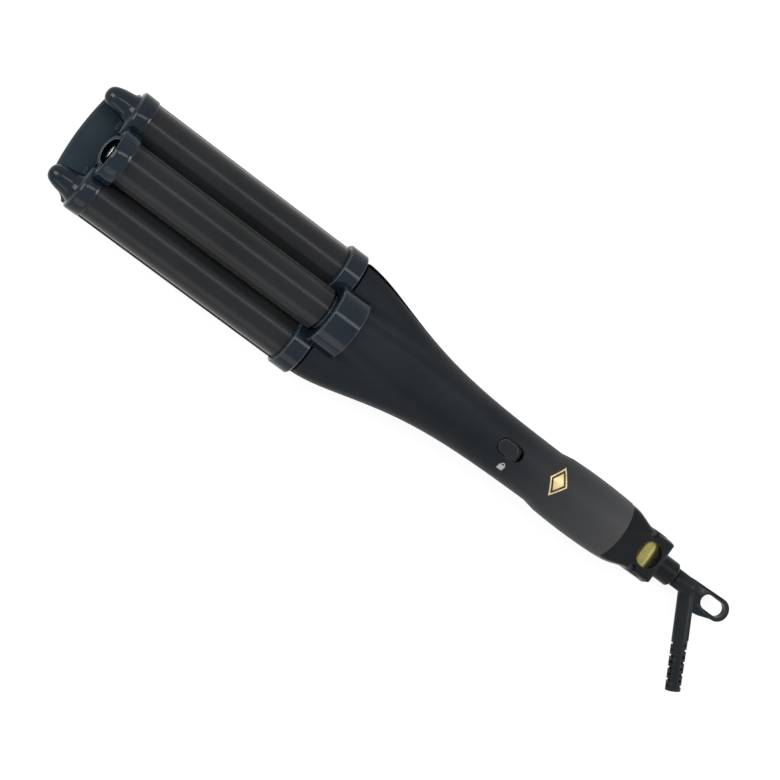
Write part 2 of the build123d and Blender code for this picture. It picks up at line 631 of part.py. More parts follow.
def toe_plate():
    """The plate between the horns, with an arched front edge and a cradle under each front collar."""
    plate = both_sides(extrude(make_face(toe_outline()), TOE_THICKNESS))
    front_edge = plate.faces().sort_by(Axis.Z)[-1].edges().sort_by(Axis.X)[:2]
    plate = chamfer(front_edge, TOE_EDGE_BEVEL)
    cradle = block(CAP_FRONT_X, BARREL_FRONT_X, SIDE_Y - TOE_CRADLE_HALF, SIDE_Y + TOE_CRADLE_HALF,
                   TOE_THICKNESS / 2, TOE_CRADLE_HEIGHT)
    collar = rod_x(FRONT_COLLAR_R + SNUG, CAP_FRONT_X - 1, BARREL_FRONT_X + 1, SIDE_Y, SIDE_Z)
    return plate + both_sides(cradle) - both_sides(collar)


def tube_barrel(x0, x1, y, z):
    """A barrel: a tube along X."""
    return rod_x(BARREL_R, x0, x1, y, z) - rod_x(BARREL_BORE_R, x0 - 1, x1 + 1, y, z)


def side_barrel(side):
    return tube_barrel(CAP_FRONT_X + END_WALL + SNUG, SEAT_X - END_WALL - SNUG, side * SIDE_Y, SIDE_Z)


def cup(radius, open_x, closed_x, y, z):
    """A closed-ended collar over the end of a side barrel."""
    inward = 1 if closed_x > open_x else -1
    bevel = inward * COLLAR_BEVEL
    bore_r = BARREL_R + SNUG
    return turned_x([
        (open_x, bore_r), (open_x, radius - COLLAR_BEVEL), (open_x + bevel, radius),
        (closed_x - bevel, radius), (closed_x, radius - COLLAR_BEVEL), (closed_x, 0),
        (closed_x - inward * END_WALL, 0), (closed_x - inward * END_WALL, bore_r),
    ], y, z)


def horn(side):
    """The bullet-shaped rest in front of a side barrel, which stays cool to the touch."""
    base_x = CAP_FRONT_X + HORN_ROOT
    round_x = CAP_FRONT_X - HORN_STRAIGHT
    outline = [
        Line((base_x, 0), (base_x, HORN_R)),
        Line((base_x, HORN_R), (round_x, HORN_R)),
        Spline((round_x, HORN_R), (HORN_TIP_X, 0), tangents=[(-1, -0.12), (0, -1)]),
        Line((HORN_TIP_X, 0), (base_x, 0)),
    ]
    return Pos(0, side * HORN_Y, HORN_Z) * revolve(make_face(outline), Axis.X)


def side_front_cap(side):
    return cup(FRONT_COLLAR_R, BARREL_FRONT_X, CAP_FRONT_X, side * SIDE_Y, SIDE_Z) + horn(side)


def side_rear_collar(side):
    collar = cup(REAR_COLLAR_R, BARREL_REAR_X, SEAT_X, side * SIDE_Y, SIDE_Z)
    return collar - rod_x(LEAD_R + LEAD_PLAY, SEAT_X - END_WALL - 1, SEAT_X + 1, side * SIDE_Y, SIDE_LEAD_Z)


def heater(y, z):
    """The flat ceramic heating element on a barrel's axis."""
    return block(HEATER_FRONT_X, HEATER_REAR_X, y - HEATER_WIDTH / 2, y + HEATER_WIDTH / 2,
                 z - HEATER_THICKNESS / 2, z + HEATER_THICKNESS / 2)


def heat_spreaders(y, z):
    """Two D-shaped aluminium bars that clamp the element and press on the barrel's bore."""
    half = HEATER_THICKNESS / 2 + SNUG
    bar = rod_x(BARREL_BORE_R - RUNNING, HEATER_FRONT_X, HEATER_REAR_X, y, z)
    return bar - block(HEATER_FRONT_X - 1, HEATER_REAR_X + 1, y - BARREL_R, y + BARREL_R, z - half, z + half)


def control_board():
    """The circuit board with its switches, relay and connectors."""
    edge_y = BOARD_WIDTH / 2 - BOARD_EDGE
    board = slab(BOARD_FRONT_X, BOARD_FRONT_X + BOARD_LENGTH, BOARD_WIDTH / 2, BOARD_Z, BOARD_TOP_Z)
    half = SWITCH_SIZE / 2
    switches = [slab(x - half, x + half, half, BOARD_TOP_Z, BOARD_TOP_Z + SWITCH_HEIGHT) for x in button_xs()]
    triac_x = BOARD_FRONT_X + TRIAC_BACK
    triac = block(triac_x, triac_x + TRIAC_SIZE, -edge_y, TRIAC_SIZE - edge_y,
                  BOARD_TOP_Z, BOARD_TOP_Z + TRIAC_HEIGHT)
    socket_x = BOARD_FRONT_X + BOARD_EDGE
    socket = block(socket_x, socket_x + SOCKET_LENGTH, edge_y - SOCKET_WIDTH, edge_y,
                   BOARD_TOP_Z, BOARD_TOP_Z + SOCKET_HEIGHT)
    return board + switches + triac + both_sides(socket)


def button_xs():
    return [MIDDLE_BUTTON_X + i * BUTTON_PITCH for i in (-1, 0, 1)]


def button(x):
    """A push button: cap, retaining flange under the cover and a stem over its switch."""
    flange_z = LOWER_COVER_BOTTOM_Z - LOCK_CLEARANCE
    flange_floor = flange_z - BUTTON_FLANGE_THICKNESS
    cap = rounded_block(BUTTON_LENGTH, BUTTON_WIDTH, flange_floor, LOWER_HEIGHT + BUTTON_PROUD,
                        BUTTON_CORNER_R, x)
    cap = chamfer(cap.faces().sort_by(Axis.Z)[-1].edges(), BUTTON_BEVEL)
    flange = rounded_block(BUTTON_LENGTH + 2 * BUTTON_FLANGE, BUTTON_WIDTH + 2 * BUTTON_FLANGE,
                           flange_floor, flange_z, BUTTON_CORNER_R, x)
    stem_z = BOARD_TOP_Z + SWITCH_HEIGHT + BUTTON_TRAVEL + BUTTON_STEM_GAP
    return cap + flange + rod_z(BUTTON_STEM_R, stem_z, flange_z, x)


def thermal_fuse():
    """The one-shot fuse, lying on the board between the lead sockets."""
    x0 = BOARD_FRONT_X + BOARD_EDGE
    x1 = x0 + FUSE_LENGTH
    z = BOARD_TOP_Z + FUSE_R + FREE / 2
    return rod_x(FUSE_R, x0, x1, 0, z) + rod_x(FUSE_LEAD_R, x0 - FUSE_LEAD_LENGTH, x1 + FUSE_LEAD_LENGTH, 0, z)


def indicator_lens():
    return slab(LENS_X - LENS_LENGTH / 2, LENS_X + LENS_LENGTH / 2, LENS_WIDTH / 2,
                LOWER_COVER_BOTTOM_Z, LOWER_HEIGHT)


def wire(points, radius):
    """A wire along a path with round bends."""
    path = FilletPolyline(*points, radius=WIRE_BEND_R)
    start = Plane(origin=path @ 0, z_dir=path % 0)
    return sweep(start * Circle(radius), path=path)


def lower_wire_loom():
    """Leads from the side heaters to the board, and the supply lead along the grip to the swivel."""
    lead = wire([(HEATER_REAR_X + HEATER_END_GAP, SIDE_Y, SIDE_LEAD_Z),
                 (HOUSING_FRONT_X + LEAD_RUN, SIDE_Y, SIDE_LEAD_Z),
                 (BOARD_FRONT_X - LEAD_BEND, LEAD_Y, SIDE_LEAD_Z),
                 (BOARD_FRONT_X - LOCK_CLEARANCE, LEAD_Y, SIDE_LEAD_Z)], LEAD_R)
    floor_z = HOUSING_WALL + SUPPLY_R + WIRE_GAP
    rise_x = HOUSING_REAR_X - SUPPLY_RISE
    supply = wire([(BOARD_MID_X + SUPPLY_START, 0, floor_z), (rise_x, 0, floor_z),
                   (rise_x + LEAD_RUN, 0, CHANNEL_Z), (NECK_FRONT_X - LEAD_R, 0, CHANNEL_Z)], SUPPLY_R)
    return both_sides(lead) + supply


# ---- Cord swivel ----------------------------------------------------------------------------------

def swivel_bush():
    x0 = RING_REAR_X + FREE / 2
    sleeve = rod_x(BUSH_R - SNUG, x0, TAIL_REAR, 0, SWIVEL_Z)
    return sleeve - rod_x(NECK_R + RUNNING, x0 - 1, TAIL_REAR + 1, 0, SWIVEL_Z)


def swivel_collar():
    """The turning collar: a round flange outside and a grooved neck through the bush."""
    face_x = TAIL_REAR + SWIVEL_GAP
    end_x = face_x + SWIVEL_LENGTH
    groove_r = NECK_R - RING_GROOVE
    return turned_x([
        (NECK_FRONT_X, CORD_HOLE_R), (NECK_FRONT_X, NECK_R), (RING_FRONT_X, NECK_R),
        (RING_FRONT_X, groove_r), (RING_REAR_X, groove_r), (RING_REAR_X, NECK_R), (face_x, NECK_R),
        (face_x, SWIVEL_R - SWIVEL_BEVEL), (face_x + SWIVEL_BEVEL, SWIVEL_R),
        (end_x - SWIVEL_BEVEL, SWIVEL_R), (end_x, SWIVEL_R - SWIVEL_BEVEL), (end_x, CORD_HOLE_R),
    ], 0, SWIVEL_Z)


def swivel_ring():
    """The snap ring in the neck's groove, open at the top."""
    ring = rod_x(BUSH_R - FREE, RING_FRONT_X + SNUG, RING_REAR_X - SNUG, 0, SWIVEL_Z)
    ring -= rod_x(NECK_R - RING_GROOVE + SNUG, RING_FRONT_X - 1, RING_REAR_X + 1, 0, SWIVEL_Z)
    return ring - slab(RING_FRONT_X - 1, RING_REAR_X + 1, RING_MOUTH / 2, SWIVEL_Z, LOWER_HEIGHT)


def branch_frame():
    """A plane at the bend, its normal along the branch that leads the cord out."""
    angle = math.radians(BRANCH_ANGLE)
    return Plane(origin=(RELIEF_BEND_X, 0, SWIVEL_Z), x_dir=(0, 0, 1),
                 z_dir=(math.cos(angle), math.sin(angle), 0))


def relief_branch():
    """The tapered branch with its alternating flex slots."""
    frame = branch_frame()
    cone = frame * Pos(0, 0, BRANCH_LENGTH / 2) * Cone(BRANCH_ROOT_R, BRANCH_TIP_R, BRANCH_LENGTH)
    slots = []
    for i in range(RIB_COUNT):
        side = 1 if i % 2 else -1
        along = BRANCH_LENGTH - RIB_END - i * RIB_PITCH
        slots.append(frame * Pos(0, side * BRANCH_TIP_R, along) * Box(WIDE, BRANCH_TIP_R, RIB_SLOT))
    core = frame * Pos(0, 0, BRANCH_LENGTH / 2) * Cylinder(CORD_BORE_R + RIB_CORE_WALL, BRANCH_LENGTH)
    return cone - slots + core


def hang_loop():
    """The flat teardrop loop that carries straight on past the bend, with its hole."""
    end_x = LOOP_END_X - LOOP_R
    outline = make_hull([
        *(Pos(RELIEF_BEND_X, 0) * Circle(RELIEF_NECK_R)).edges(),
        *(Pos(end_x, LOOP_Y) * Circle(LOOP_R)).edges(),
    ])
    hole_x = end_x + (LOOP_HOLE_WIDTH - LOOP_HOLE_LENGTH) / 2
    hole = Pos(hole_x, LOOP_Y) * SlotOverall(LOOP_HOLE_LENGTH, LOOP_HOLE_WIDTH)
    return extrude(Pos(0, 0, SWIVEL_Z - LOOP_THICKNESS / 2) * (outline - hole), LOOP_THICKNESS)


def strain_relief():
    """The moulded relief: neck, branch and hang loop in one piece, bored for the cord."""
    neck = rod_x(RELIEF_NECK_R, TAIL_REAR + SWIVEL_GAP + SWIVEL_LENGTH, RELIEF_BEND_X, 0, SWIVEL_Z)
    elbow = Pos(RELIEF_BEND_X, 0, SWIVEL_Z) * Sphere(RELIEF_NECK_R)
    bore_mid = BRANCH_LENGTH - CORD_BORE_LENGTH / 2
    bore = branch_frame() * Pos(0, 0, bore_mid) * Cylinder(CORD_BORE_R, CORD_BORE_LENGTH)
    return neck + elbow + relief_branch() + hang_loop() - bore


# ---- Upper arm ------------------------------------------------------------------------------------

def upper_housing():
    """The upper arm's moulded shell, open below, with bosses, lock slot and slide rails."""
    room = slab(HOUSING_FRONT_X + HOUSING_WALL, HOUSING_REAR_X - HOUSING_WALL, WIDE, 0, WIDE)
    hollow = upper_form(HOUSING_WALL) & room
    bosses = [rod_z(BOSS_R, UPPER_COVER_TOP_Z, WIDE, x, y) for x, y in UPPER_SCREWS]
    tongue_bosses = [rod_z(BOSS_R, BLOCK_TOP_Z + SNUG, WIDE, x, y) for x, y in TONGUE_SCREWS]
    fittings = upper_form(HOUSING_WALL / 2) & (lock_rails() + bosses + tongue_bosses)
    shell = upper_form() - hollow + fittings
    collar_seat = rod_x(CENTER_COLLAR_R + SNUG, HOUSING_FRONT_X - 1, CENTER_COLLAR_REAR_X, 0, CENTER_Z)
    tip_z = UPPER_BASE_Z + SCREW_HEAD_HEIGHT + PILOT_SPARE
    shell = shell - tongue_room() - collar_seat - lock_slot()
    shell -= pilots(UPPER_SCREWS, 0, tip_z + SCREW_LENGTH)
    return shell - pilots(TONGUE_SCREWS, 0, tip_z + TONGUE_SCREW_SUNK + TONGUE_SCREW_LENGTH)


def tongue_room():
    """The opening in the upper housing's square rear end that the hinge block's tongue fills."""
    face = upper_section(HOUSING_REAR_X, HOUSING_WALL + SNUG, POMMEL_END_SWELL)
    bar = Pos(0, 0, UPPER_BASE_Z) * extrude(face, 2 * HOUSING_WALL, both=True)
    return bar & slab(-WIDE, WIDE, WIDE, UPPER_BASE_Z, BLOCK_TOP_Z + SNUG)


def lock_slot():
    """The slot that the knob slides in, with room for its travel."""
    length = LOCK_KNOB_LENGTH + LOCK_TRAVEL + 2 * LOCK_CLEARANCE
    plan = SlotOverall(length, LOCK_KNOB_WIDTH + 2 * LOCK_SIDE_GAP)
    return extrude(Pos(LOCK_X, 0, LOCK_PLATE_TOP) * plan, WIDE)


def lock_rails():
    """Two channel-shaped rails under the crown that guide the lock's slide plate."""
    x0 = KNOB_X - LOCK_PLATE_LENGTH / 2 - RAIL_SPARE
    x1 = KNOB_X + LOCK_PLATE_LENGTH / 2 + LOCK_TRAVEL + RAIL_SPARE
    wall_y = LOCK_PLATE_WIDTH / 2 + LOCK_CLEARANCE
    ledge_z = LOCK_PLATE_Z - LOCK_CLEARANCE
    wall = block(x0, x1, wall_y, wall_y + RAIL_WALL, ledge_z - RAIL_WALL, WIDE)
    ledge = block(x0, x1, LOCK_PLATE_WIDTH / 2 - RAIL_LEDGE, wall_y + RAIL_WALL, ledge_z - RAIL_WALL, ledge_z)
    return both_sides(wall + ledge)


def upper_inner_cover():
    """The flat cover of the upper arm, with the catch's opening and its screw holes."""
    plate = upper_form(HOUSING_WALL + COVER_CLEARANCE) & slab(
        HOUSING_FRONT_X + HOUSING_WALL + COVER_CLEARANCE, TONGUE_FRONT_X - COVER_CLEARANCE,
        WIDE, UPPER_BASE_Z, UPPER_COVER_TOP_Z)
    collar = rod_x(CENTER_COLLAR_R + COVER_CLEARANCE, HOUSING_FRONT_X - 1,
                   CENTER_COLLAR_REAR_X + COVER_CLEARANCE, 0, CENTER_Z)
    head_z = UPPER_BASE_Z + SCREW_HEAD_HEIGHT + SNUG
    holes = screw_holes(UPPER_SCREWS, UPPER_BASE_Z - 1, UPPER_COVER_TOP_Z + 1, UPPER_BASE_Z - 1, head_z)
    return plate - collar - catch_opening(UPPER_BASE_Z - 1, UPPER_COVER_TOP_Z + 1, CATCH_ROOM) - holes


def lift_clearance(radius, x0, x1):
    """The room that the side collars need while the jaw lifts the centre pieces straight up off them."""
    reach = radius + FREE
    pipe = rod_x(reach, x0, x1, SIDE_Y, SIDE_Z)
    return both_sides(pipe + block(x0, x1, SIDE_Y - reach, SIDE_Y + reach, -WIDE, SIDE_Z))


def rear_lift_clearance():
    """The room for the side barrels' rear collars."""
    return lift_clearance(REAR_COLLAR_R, BARREL_REAR_X - FREE, SEAT_X + FREE / 2)


def center_barrel():
    """The centre barrel, its lower flanks notched where it runs between the side barrels' rear collars."""
    return tube_barrel(CENTER_BARREL_FRONT_X, CENTER_BARREL_REAR_X, 0, CENTER_Z) - rear_lift_clearance()


def beveled_disc(radius, x0, x1):
    """A disc about the centre barrel's axis with both rims bevelled."""
    return turned_x([
        (x0, 0), (x0, radius - COLLAR_BEVEL), (x0 + COLLAR_BEVEL, radius),
        (x1 - COLLAR_BEVEL, radius), (x1, radius - COLLAR_BEVEL), (x1, 0),
    ], 0, CENTER_Z)


def center_nose():
    """The domed nose in front of the centre cap, hollow and open above its slanted rim."""
    front = CENTER_CAP_FRONT_X
    ball_r = (NOSE_R ** 2 + NOSE_LENGTH ** 2) / (2 * NOSE_LENGTH)
    middle = Pos(front - NOSE_LENGTH + ball_r, 0, CENTER_Z)
    shell = middle * Sphere(ball_r) - middle * Sphere(ball_r - NOSE_WALL)
    ahead = slab(front - WIDE, front + COLLAR_BEVEL, WIDE, -WIDE, WIDE)
    slope = math.degrees(math.atan2(NOSE_RIM_RISE, NOSE_LENGTH))
    above = Pos(front, 0, CENTER_Z + NOSE_RIM_RISE) * Rot(0, -slope, 0) * Pos(0, 0, WIDE / 2) * Box(
        2 * WIDE, WIDE, WIDE)
    return (shell & ahead) - above


def center_front_cap():
    """The centre barrel's front plug, with its hollow nose and the screw's seat."""
    front, rear = CENTER_CAP_FRONT_X, CENTER_CAP_REAR_X
    disc = beveled_disc(CENTER_CAP_R, front, rear)
    disc -= rod_x(BARREL_R + SNUG, CENTER_BARREL_FRONT_X, rear + 1, 0, CENTER_Z)
    disc -= rod_x(NOSE_R - NOSE_WALL, front - 1, front + NOSE_DEPTH, 0, CENTER_Z)
    spigot = rod_x(SPIGOT_R, CENTER_BARREL_FRONT_X - 1, CENTER_BARREL_FRONT_X + SPIGOT_LENGTH, 0, CENTER_Z)
    pilot = rod_x(SCREW_R + SNUG, front, front + NOSE_DEPTH + SCREW_LENGTH + PILOT_SPARE, 0, CENTER_Z)
    return disc + spigot - pilot - lift_clearance(FRONT_COLLAR_R, front - 1, rear + 1) + center_nose()


def center_front_screw():
    """The pan-head screw in the nose recess."""
    seat_x = CENTER_CAP_FRONT_X + NOSE_DEPTH
    head = rod_x(NOSE_SCREW_R, seat_x - NOSE_SCREW_HEIGHT, seat_x, 0, CENTER_Z)
    return head + rod_x(SCREW_R, seat_x, seat_x + SCREW_LENGTH, 0, CENTER_Z)


def center_rear_collar():
    """The large collar that joins the centre barrel to the upper housing."""
    front, rear = CENTER_COLLAR_FRONT_X, CENTER_COLLAR_REAR_X
    spigot_x = CENTER_BARREL_REAR_X - SPIGOT_LENGTH
    spigot = rod_x(SPIGOT_R, spigot_x, front + 1, 0, CENTER_Z)
    bore = rod_x(COLLAR_BORE_R, spigot_x - 1, rear + 1, 0, CENTER_Z)
    below_arm = slab(SEAT_X - FREE, rear + 1, WIDE, -WIDE, UPPER_BASE_Z)
    below_neck = slab(front - 1, rear + 1, WIDE, -WIDE, CENTER_Z - BARREL_R - COLLAR_DROP)
    solid = beveled_disc(CENTER_COLLAR_R, front, rear) + spigot - bore
    return solid - rear_lift_clearance() - below_arm - below_neck


def upper_wire_loom():
    """The lead from the centre heater along the grip to the hinge block's tongue."""
    low_z = UPPER_COVER_TOP_Z + LEAD_R + WIRE_GAP
    rear = CENTER_COLLAR_REAR_X
    return wire([(HEATER_REAR_X + HEATER_END_GAP, 0, CENTER_Z), (rear + UPPER_LEAD_RUN, 0, CENTER_Z),
                 (rear + UPPER_LEAD_DROP, UPPER_LEAD_Y, low_z),
                 (TONGUE_FRONT_X - LOCK_CLEARANCE, UPPER_LEAD_Y, low_z)], LEAD_R)


def block_section(x):
    """The hinge block's section: flat top between two rounded flanks."""
    half_width = shoulder_half_width(x)
    return dome_face(x, half_width, half_width - BLOCK_FLANK, BLOCK_HEIGHT)


def hinge_block():
    """The upper arm's rear block: tongue, neck, two ears on the pin and the window over the drum."""
    tongue = upper_form(HOUSING_WALL + COVER_CLEARANCE) & slab(
        TONGUE_FRONT_X, HOUSING_REAR_X, WIDE, UPPER_BASE_Z, BLOCK_TOP_Z - COVER_CLEARANCE)
    straight = extrude(block_section(-BLOCK_FRONT), BLOCK_FRONT + BLOCK_REAR)
    head = Pos(0, 0, UPPER_BASE_Z) * straight & block_plan(BLOCK_REAR, 0, WIDE) & block_side()
    neck = Pos(0, 0, UPPER_BASE_Z) * shoulder_form(block_section)
    ears = both_sides(rod_y(EAR_R, EAR_IN, BLOCK_HALF_WIDTH, 0, HINGE_Z))
    return tongue + neck + head + ears - block_cuts()


def block_side():
    """The hinge block's side view, with its upper rear edge rounded."""
    x1 = BLOCK_REAR - BLOCK_EDGE_R
    z1 = BLOCK_TOP_Z - BLOCK_EDGE_R
    edge = rod_y(BLOCK_EDGE_R, -WIDE, WIDE, x1, z1)
    return slab(-BLOCK_FRONT, x1, WIDE, 0, BLOCK_TOP_Z) + slab(-BLOCK_FRONT, BLOCK_REAR, WIDE, 0, z1) + edge


def block_cuts():
    """What is cut from the hinge block: drum room, window, heel relief, pin bore and screw holes."""
    window = RectangleRounded(WINDOW_LENGTH, WINDOW_WIDTH, WINDOW_CORNER_R)
    heel = Pos(0, 0, UPPER_BASE_Z) * Rot(0, -JAW_ANGLE, 0) * Pos(0, 0, -WIDE / 2) * Box(WIDE, WIDE, WIDE)
    heel &= slab(EAR_R, WIDE, WIDE, 0, WIDE)
    head_z = UPPER_BASE_Z + SCREW_HEAD_HEIGHT + TONGUE_SCREW_SUNK
    grub_ys = (-GRUB_Y, GRUB_Y)
    return [
        rod_y(DRUM_R + FREE, -EAR_IN, EAR_IN, 0, HINGE_Z),
        extrude(Pos(0, 0, HINGE_Z) * window, WIDE),
        heel,
        rod_y(PIN_R + SNUG, -PIN_HALF_LENGTH - SNUG, PIN_HALF_LENGTH + SNUG, 0, HINGE_Z),
        *[rod_z(GRUB_R + SNUG, HINGE_Z - PIN_R - SNUG, WIDE, GRUB_X, y) for y in grub_ys],
        *[rod_z(GRUB_RECESS_R, BLOCK_TOP_Z - GRUB_RECESS_DEPTH, WIDE, GRUB_X, y) for y in grub_ys],
        *screw_holes(TONGUE_SCREWS, 0, WIDE, 0, head_z),
    ]


def drum_screw_tip():
    """Height of the drum screws' tips, in the drum's wall."""
    return HINGE_Z - math.sqrt(DRUM_R ** 2 - DRUM_SCREW_X ** 2) + DRUM_SCREW_BITE


def hinge_barrel():
    """The brass drum in the window: a hollow barrel whose closed ends turn on the pin."""
    drum = rod_y(DRUM_R, -DRUM_HALF_LENGTH, DRUM_HALF_LENGTH, 0, HINGE_Z)
    drum = chamfer(drum.edges().filter_by(GeomType.CIRCLE), DRUM_BEVEL)
    bore_half = DRUM_HALF_LENGTH - DRUM_END
    drum -= rod_y(DRUM_BORE_R, -bore_half, bore_half, 0, HINGE_Z)
    drum -= rod_y(PIN_R + RUNNING, -WIDE, WIDE, 0, HINGE_Z)
    return drum - pilots(DRUM_SCREWS, 0, drum_screw_tip() + SNUG)


def hinge_pin():
    pin = rod_y(PIN_R, -PIN_HALF_LENGTH, PIN_HALF_LENGTH, 0, HINGE_Z)
    return chamfer(pin.edges().filter_by(GeomType.CIRCLE), PIN_BEVEL)


def pin_grub_screws():
    """Two grub screws that lie against the pin's flank and hold it in the ears."""
    top_z = BLOCK_TOP_Z - GRUB_RECESS_DEPTH
    return [rod_z(GRUB_R, HINGE_Z - PIN_R, top_z, GRUB_X, side * GRUB_Y) for side in (-1, 1)]


def torsion_spring():
    """The flat-wire coil on the pin."""
    height = SPRING_PITCH * SPRING_TURNS
    helix = Pos(0, 0, HINGE_Z) * Rot(90, 0, 0) * Pos(0, 0, -height / 2) * Helix(SPRING_PITCH, height, SPRING_R)
    start = Plane(origin=helix @ 0, z_dir=helix % 0)
    return sweep(start * Rectangle(SPRING_WIRE, SPRING_WIRE), path=helix, is_frenet=True)


def drum_screws():
    length = drum_screw_tip() - SCREW_SUNK - SCREW_HEAD_HEIGHT
    return [screw_up(x, y, SCREW_SUNK, length) for x, y in DRUM_SCREWS]


# ---- Lock slide -----------------------------------------------------------------------------------

def lock_knob():
    """The round-ended thumb slide in the slot."""
    top_z = UPPER_BASE_Z + UPPER_GRIP_HEIGHT + LOCK_PROUD
    plan = Pos(KNOB_X, 0, LOCK_PLATE_TOP) * SlotOverall(LOCK_KNOB_LENGTH, LOCK_KNOB_WIDTH)
    knob = extrude(plan, top_z - LOCK_PLATE_TOP)
    return fillet(knob.faces().sort_by(Axis.Z)[-1].edges(), LOCK_KNOB_ROUND)


def lock_hook():
    """The slide plate in its rails, with the claw that slides under the catch's head."""
    half = CLAW_WIDTH / 2
    claw_z = CLAW_TOP_Z - CLAW_THICKNESS
    plate = slab(KNOB_X - LOCK_PLATE_LENGTH / 2, KNOB_X + LOCK_PLATE_LENGTH / 2, LOCK_PLATE_WIDTH / 2,
                 LOCK_PLATE_Z, LOCK_PLATE_TOP)
    arm = slab(CLAW_X, CLAW_X + CLAW_ARM_LENGTH, half, claw_z, LOCK_PLATE_Z)
    return plate + arm + slab(CLAW_X, CLAW_END_X, half, claw_z, CLAW_TOP_Z)


NODES = {
    "lower_housing": lower_housing,
    "lower_inner_cover": lower_inner_cover,
    "heat_shield_tray": heat_shield_tray,
    "toe_plate": toe_plate,
    "left_barrel": lambda: side_barrel(-1),
    "right_barrel": lambda: side_barrel(1),
    "left_front_cap": lambda: side_front_cap(-1),
    "right_front_cap": lambda: side_front_cap(1),
    "left_rear_collar": lambda: side_rear_collar(-1),
    "right_rear_collar": lambda: side_rear_collar(1),
    "left_heater": lambda: heater(-SIDE_Y, SIDE_Z),
    "right_heater": lambda: heater(SIDE_Y, SIDE_Z),
    "left_heat_spreaders": lambda: heat_spreaders(-SIDE_Y, SIDE_Z),
    "right_heat_spreaders": lambda: heat_spreaders(SIDE_Y, SIDE_Z),
    "control_board": control_board,
    "thermal_fuse": thermal_fuse,
    "indicator_lens": indicator_lens,
    "catch_plate": catch_plate,
    "lower_wire_loom": lower_wire_loom,
    "hinge_barrel": hinge_barrel,
    "hinge_barrel_screws": drum_screws,
    "torsion_spring": torsion_spring,
    "swivel_bush": swivel_bush,
    "lower_cover_screws": lambda: [screw_down(x, y, LOWER_HEIGHT) for x, y in LOWER_SCREWS],
    "heat_shield_screws": lambda: [screw_up(x, y, SCREW_SUNK) for x, y in SHIELD_SCREWS],
    "power_button": lambda: button(button_xs()[0]),
    "temp_down_button": lambda: button(button_xs()[1]),
    "temp_up_button": lambda: button(button_xs()[2]),
    "swivel_collar": swivel_collar,
    "swivel_ring": swivel_ring,
    "strain_relief": strain_relief,
    "upper_housing": upper_housing,
    "upper_inner_cover": upper_inner_cover,
    "center_barrel": center_barrel,
    "center_front_cap": center_front_cap,
    "center_front_screw": center_front_screw,
    "center_rear_collar": center_rear_collar,
    "center_heater": lambda: heater(0, CENTER_Z),
    "center_heat_spreaders": lambda: heat_spreaders(0, CENTER_Z),
    "upper_wire_loom": upper_wire_loom,
    "hinge_block": hinge_block,
    "hinge_block_screws": lambda: [
        screw_up(x, y, UPPER_BASE_Z + TONGUE_SCREW_SUNK, TONGUE_SCREW_LENGTH) for x, y in TONGUE_SCREWS],
    "hinge_pin": hinge_pin,
    "pin_grub_screws": pin_grub_screws,
    "upper_cover_screws": lambda: [screw_up(x, y, UPPER_BASE_Z) for x, y in UPPER_SCREWS],
    "lock_knob": lock_knob,
    "lock_hook": lock_hook,
}


def main():
    os.makedirs("parts", exist_ok=True)
    for name, make in NODES.items():
        shape = make()
        solids = shape if isinstance(shape, list) else shape.solids()
        export_step(Compound(children=list(solids)), f"parts/{name}.step")


main()
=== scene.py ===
# Finishes, small forms, room and camera of the three-barrel hair waver.
# Lengths are in metres, in the frame of the solid model: X along the tool, Z up from the table.

import json
import math

import bmesh
import bpy
from mathutils import Matrix, Vector
from mathutils.bvhtree import BVHTree


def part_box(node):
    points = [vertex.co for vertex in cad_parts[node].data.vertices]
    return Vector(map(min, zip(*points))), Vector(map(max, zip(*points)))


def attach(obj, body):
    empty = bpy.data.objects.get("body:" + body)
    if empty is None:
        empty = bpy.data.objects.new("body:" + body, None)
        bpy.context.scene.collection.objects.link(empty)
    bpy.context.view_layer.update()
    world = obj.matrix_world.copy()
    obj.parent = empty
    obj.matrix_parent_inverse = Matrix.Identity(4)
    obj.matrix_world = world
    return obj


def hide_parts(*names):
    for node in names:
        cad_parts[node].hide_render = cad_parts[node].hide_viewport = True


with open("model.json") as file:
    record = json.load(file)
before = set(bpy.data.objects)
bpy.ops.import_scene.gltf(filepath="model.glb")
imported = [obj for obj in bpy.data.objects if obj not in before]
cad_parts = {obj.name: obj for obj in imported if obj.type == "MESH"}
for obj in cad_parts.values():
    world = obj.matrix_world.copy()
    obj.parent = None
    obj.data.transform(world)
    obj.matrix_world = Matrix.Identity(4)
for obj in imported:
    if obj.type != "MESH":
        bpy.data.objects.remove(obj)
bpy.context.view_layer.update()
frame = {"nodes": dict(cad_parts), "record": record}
MM = 0.001


# ---- Finishes -----------------------------------------------------------------------------------

EVEN = (1.0, 1.0, 1.0)
ALONG = (0.04, 1.0, 1.0)         # grain drawn out along the tool
TAIL_HIGHLIGHT_REACH = (-0.094, -0.016)    # along the tool, from no painted highlight to the full painted highlight at the tail
BLOTCH_DETAIL = 2.0
BLOTCH_RANGE = (0.32, 0.68)      # part of the slow pattern that the two colours spread over
GRAIN_DETAIL = 4.0
GRAIN_RANGE = (0.3, 0.7)         # part of the fine pattern that the gloss spreads over
GRAIN_STRENGTH = 0.6
EDGE_SAMPLES = 6
EDGE_LIGHT_TURN = 0.82                 # cosine of the turn at which an edge is fully lightened, partly wear and partly painted highlight


def noise(tree, coords, scale, detail, stretch=EVEN):
    """A noise pattern fixed to the piece, in waves per metre, stretched along chosen axes."""
    mapping = tree.nodes.new("ShaderNodeMapping")
    mapping.inputs["Scale"].default_value = stretch
    pattern = tree.nodes.new("ShaderNodeTexNoise")
    pattern.inputs["Scale"].default_value = scale
    pattern.inputs["Detail"].default_value = detail
    tree.links.new(coords, mapping.inputs["Vector"])
    tree.links.new(mapping.outputs["Vector"], pattern.inputs["Vector"])
    return pattern.outputs["Fac"]


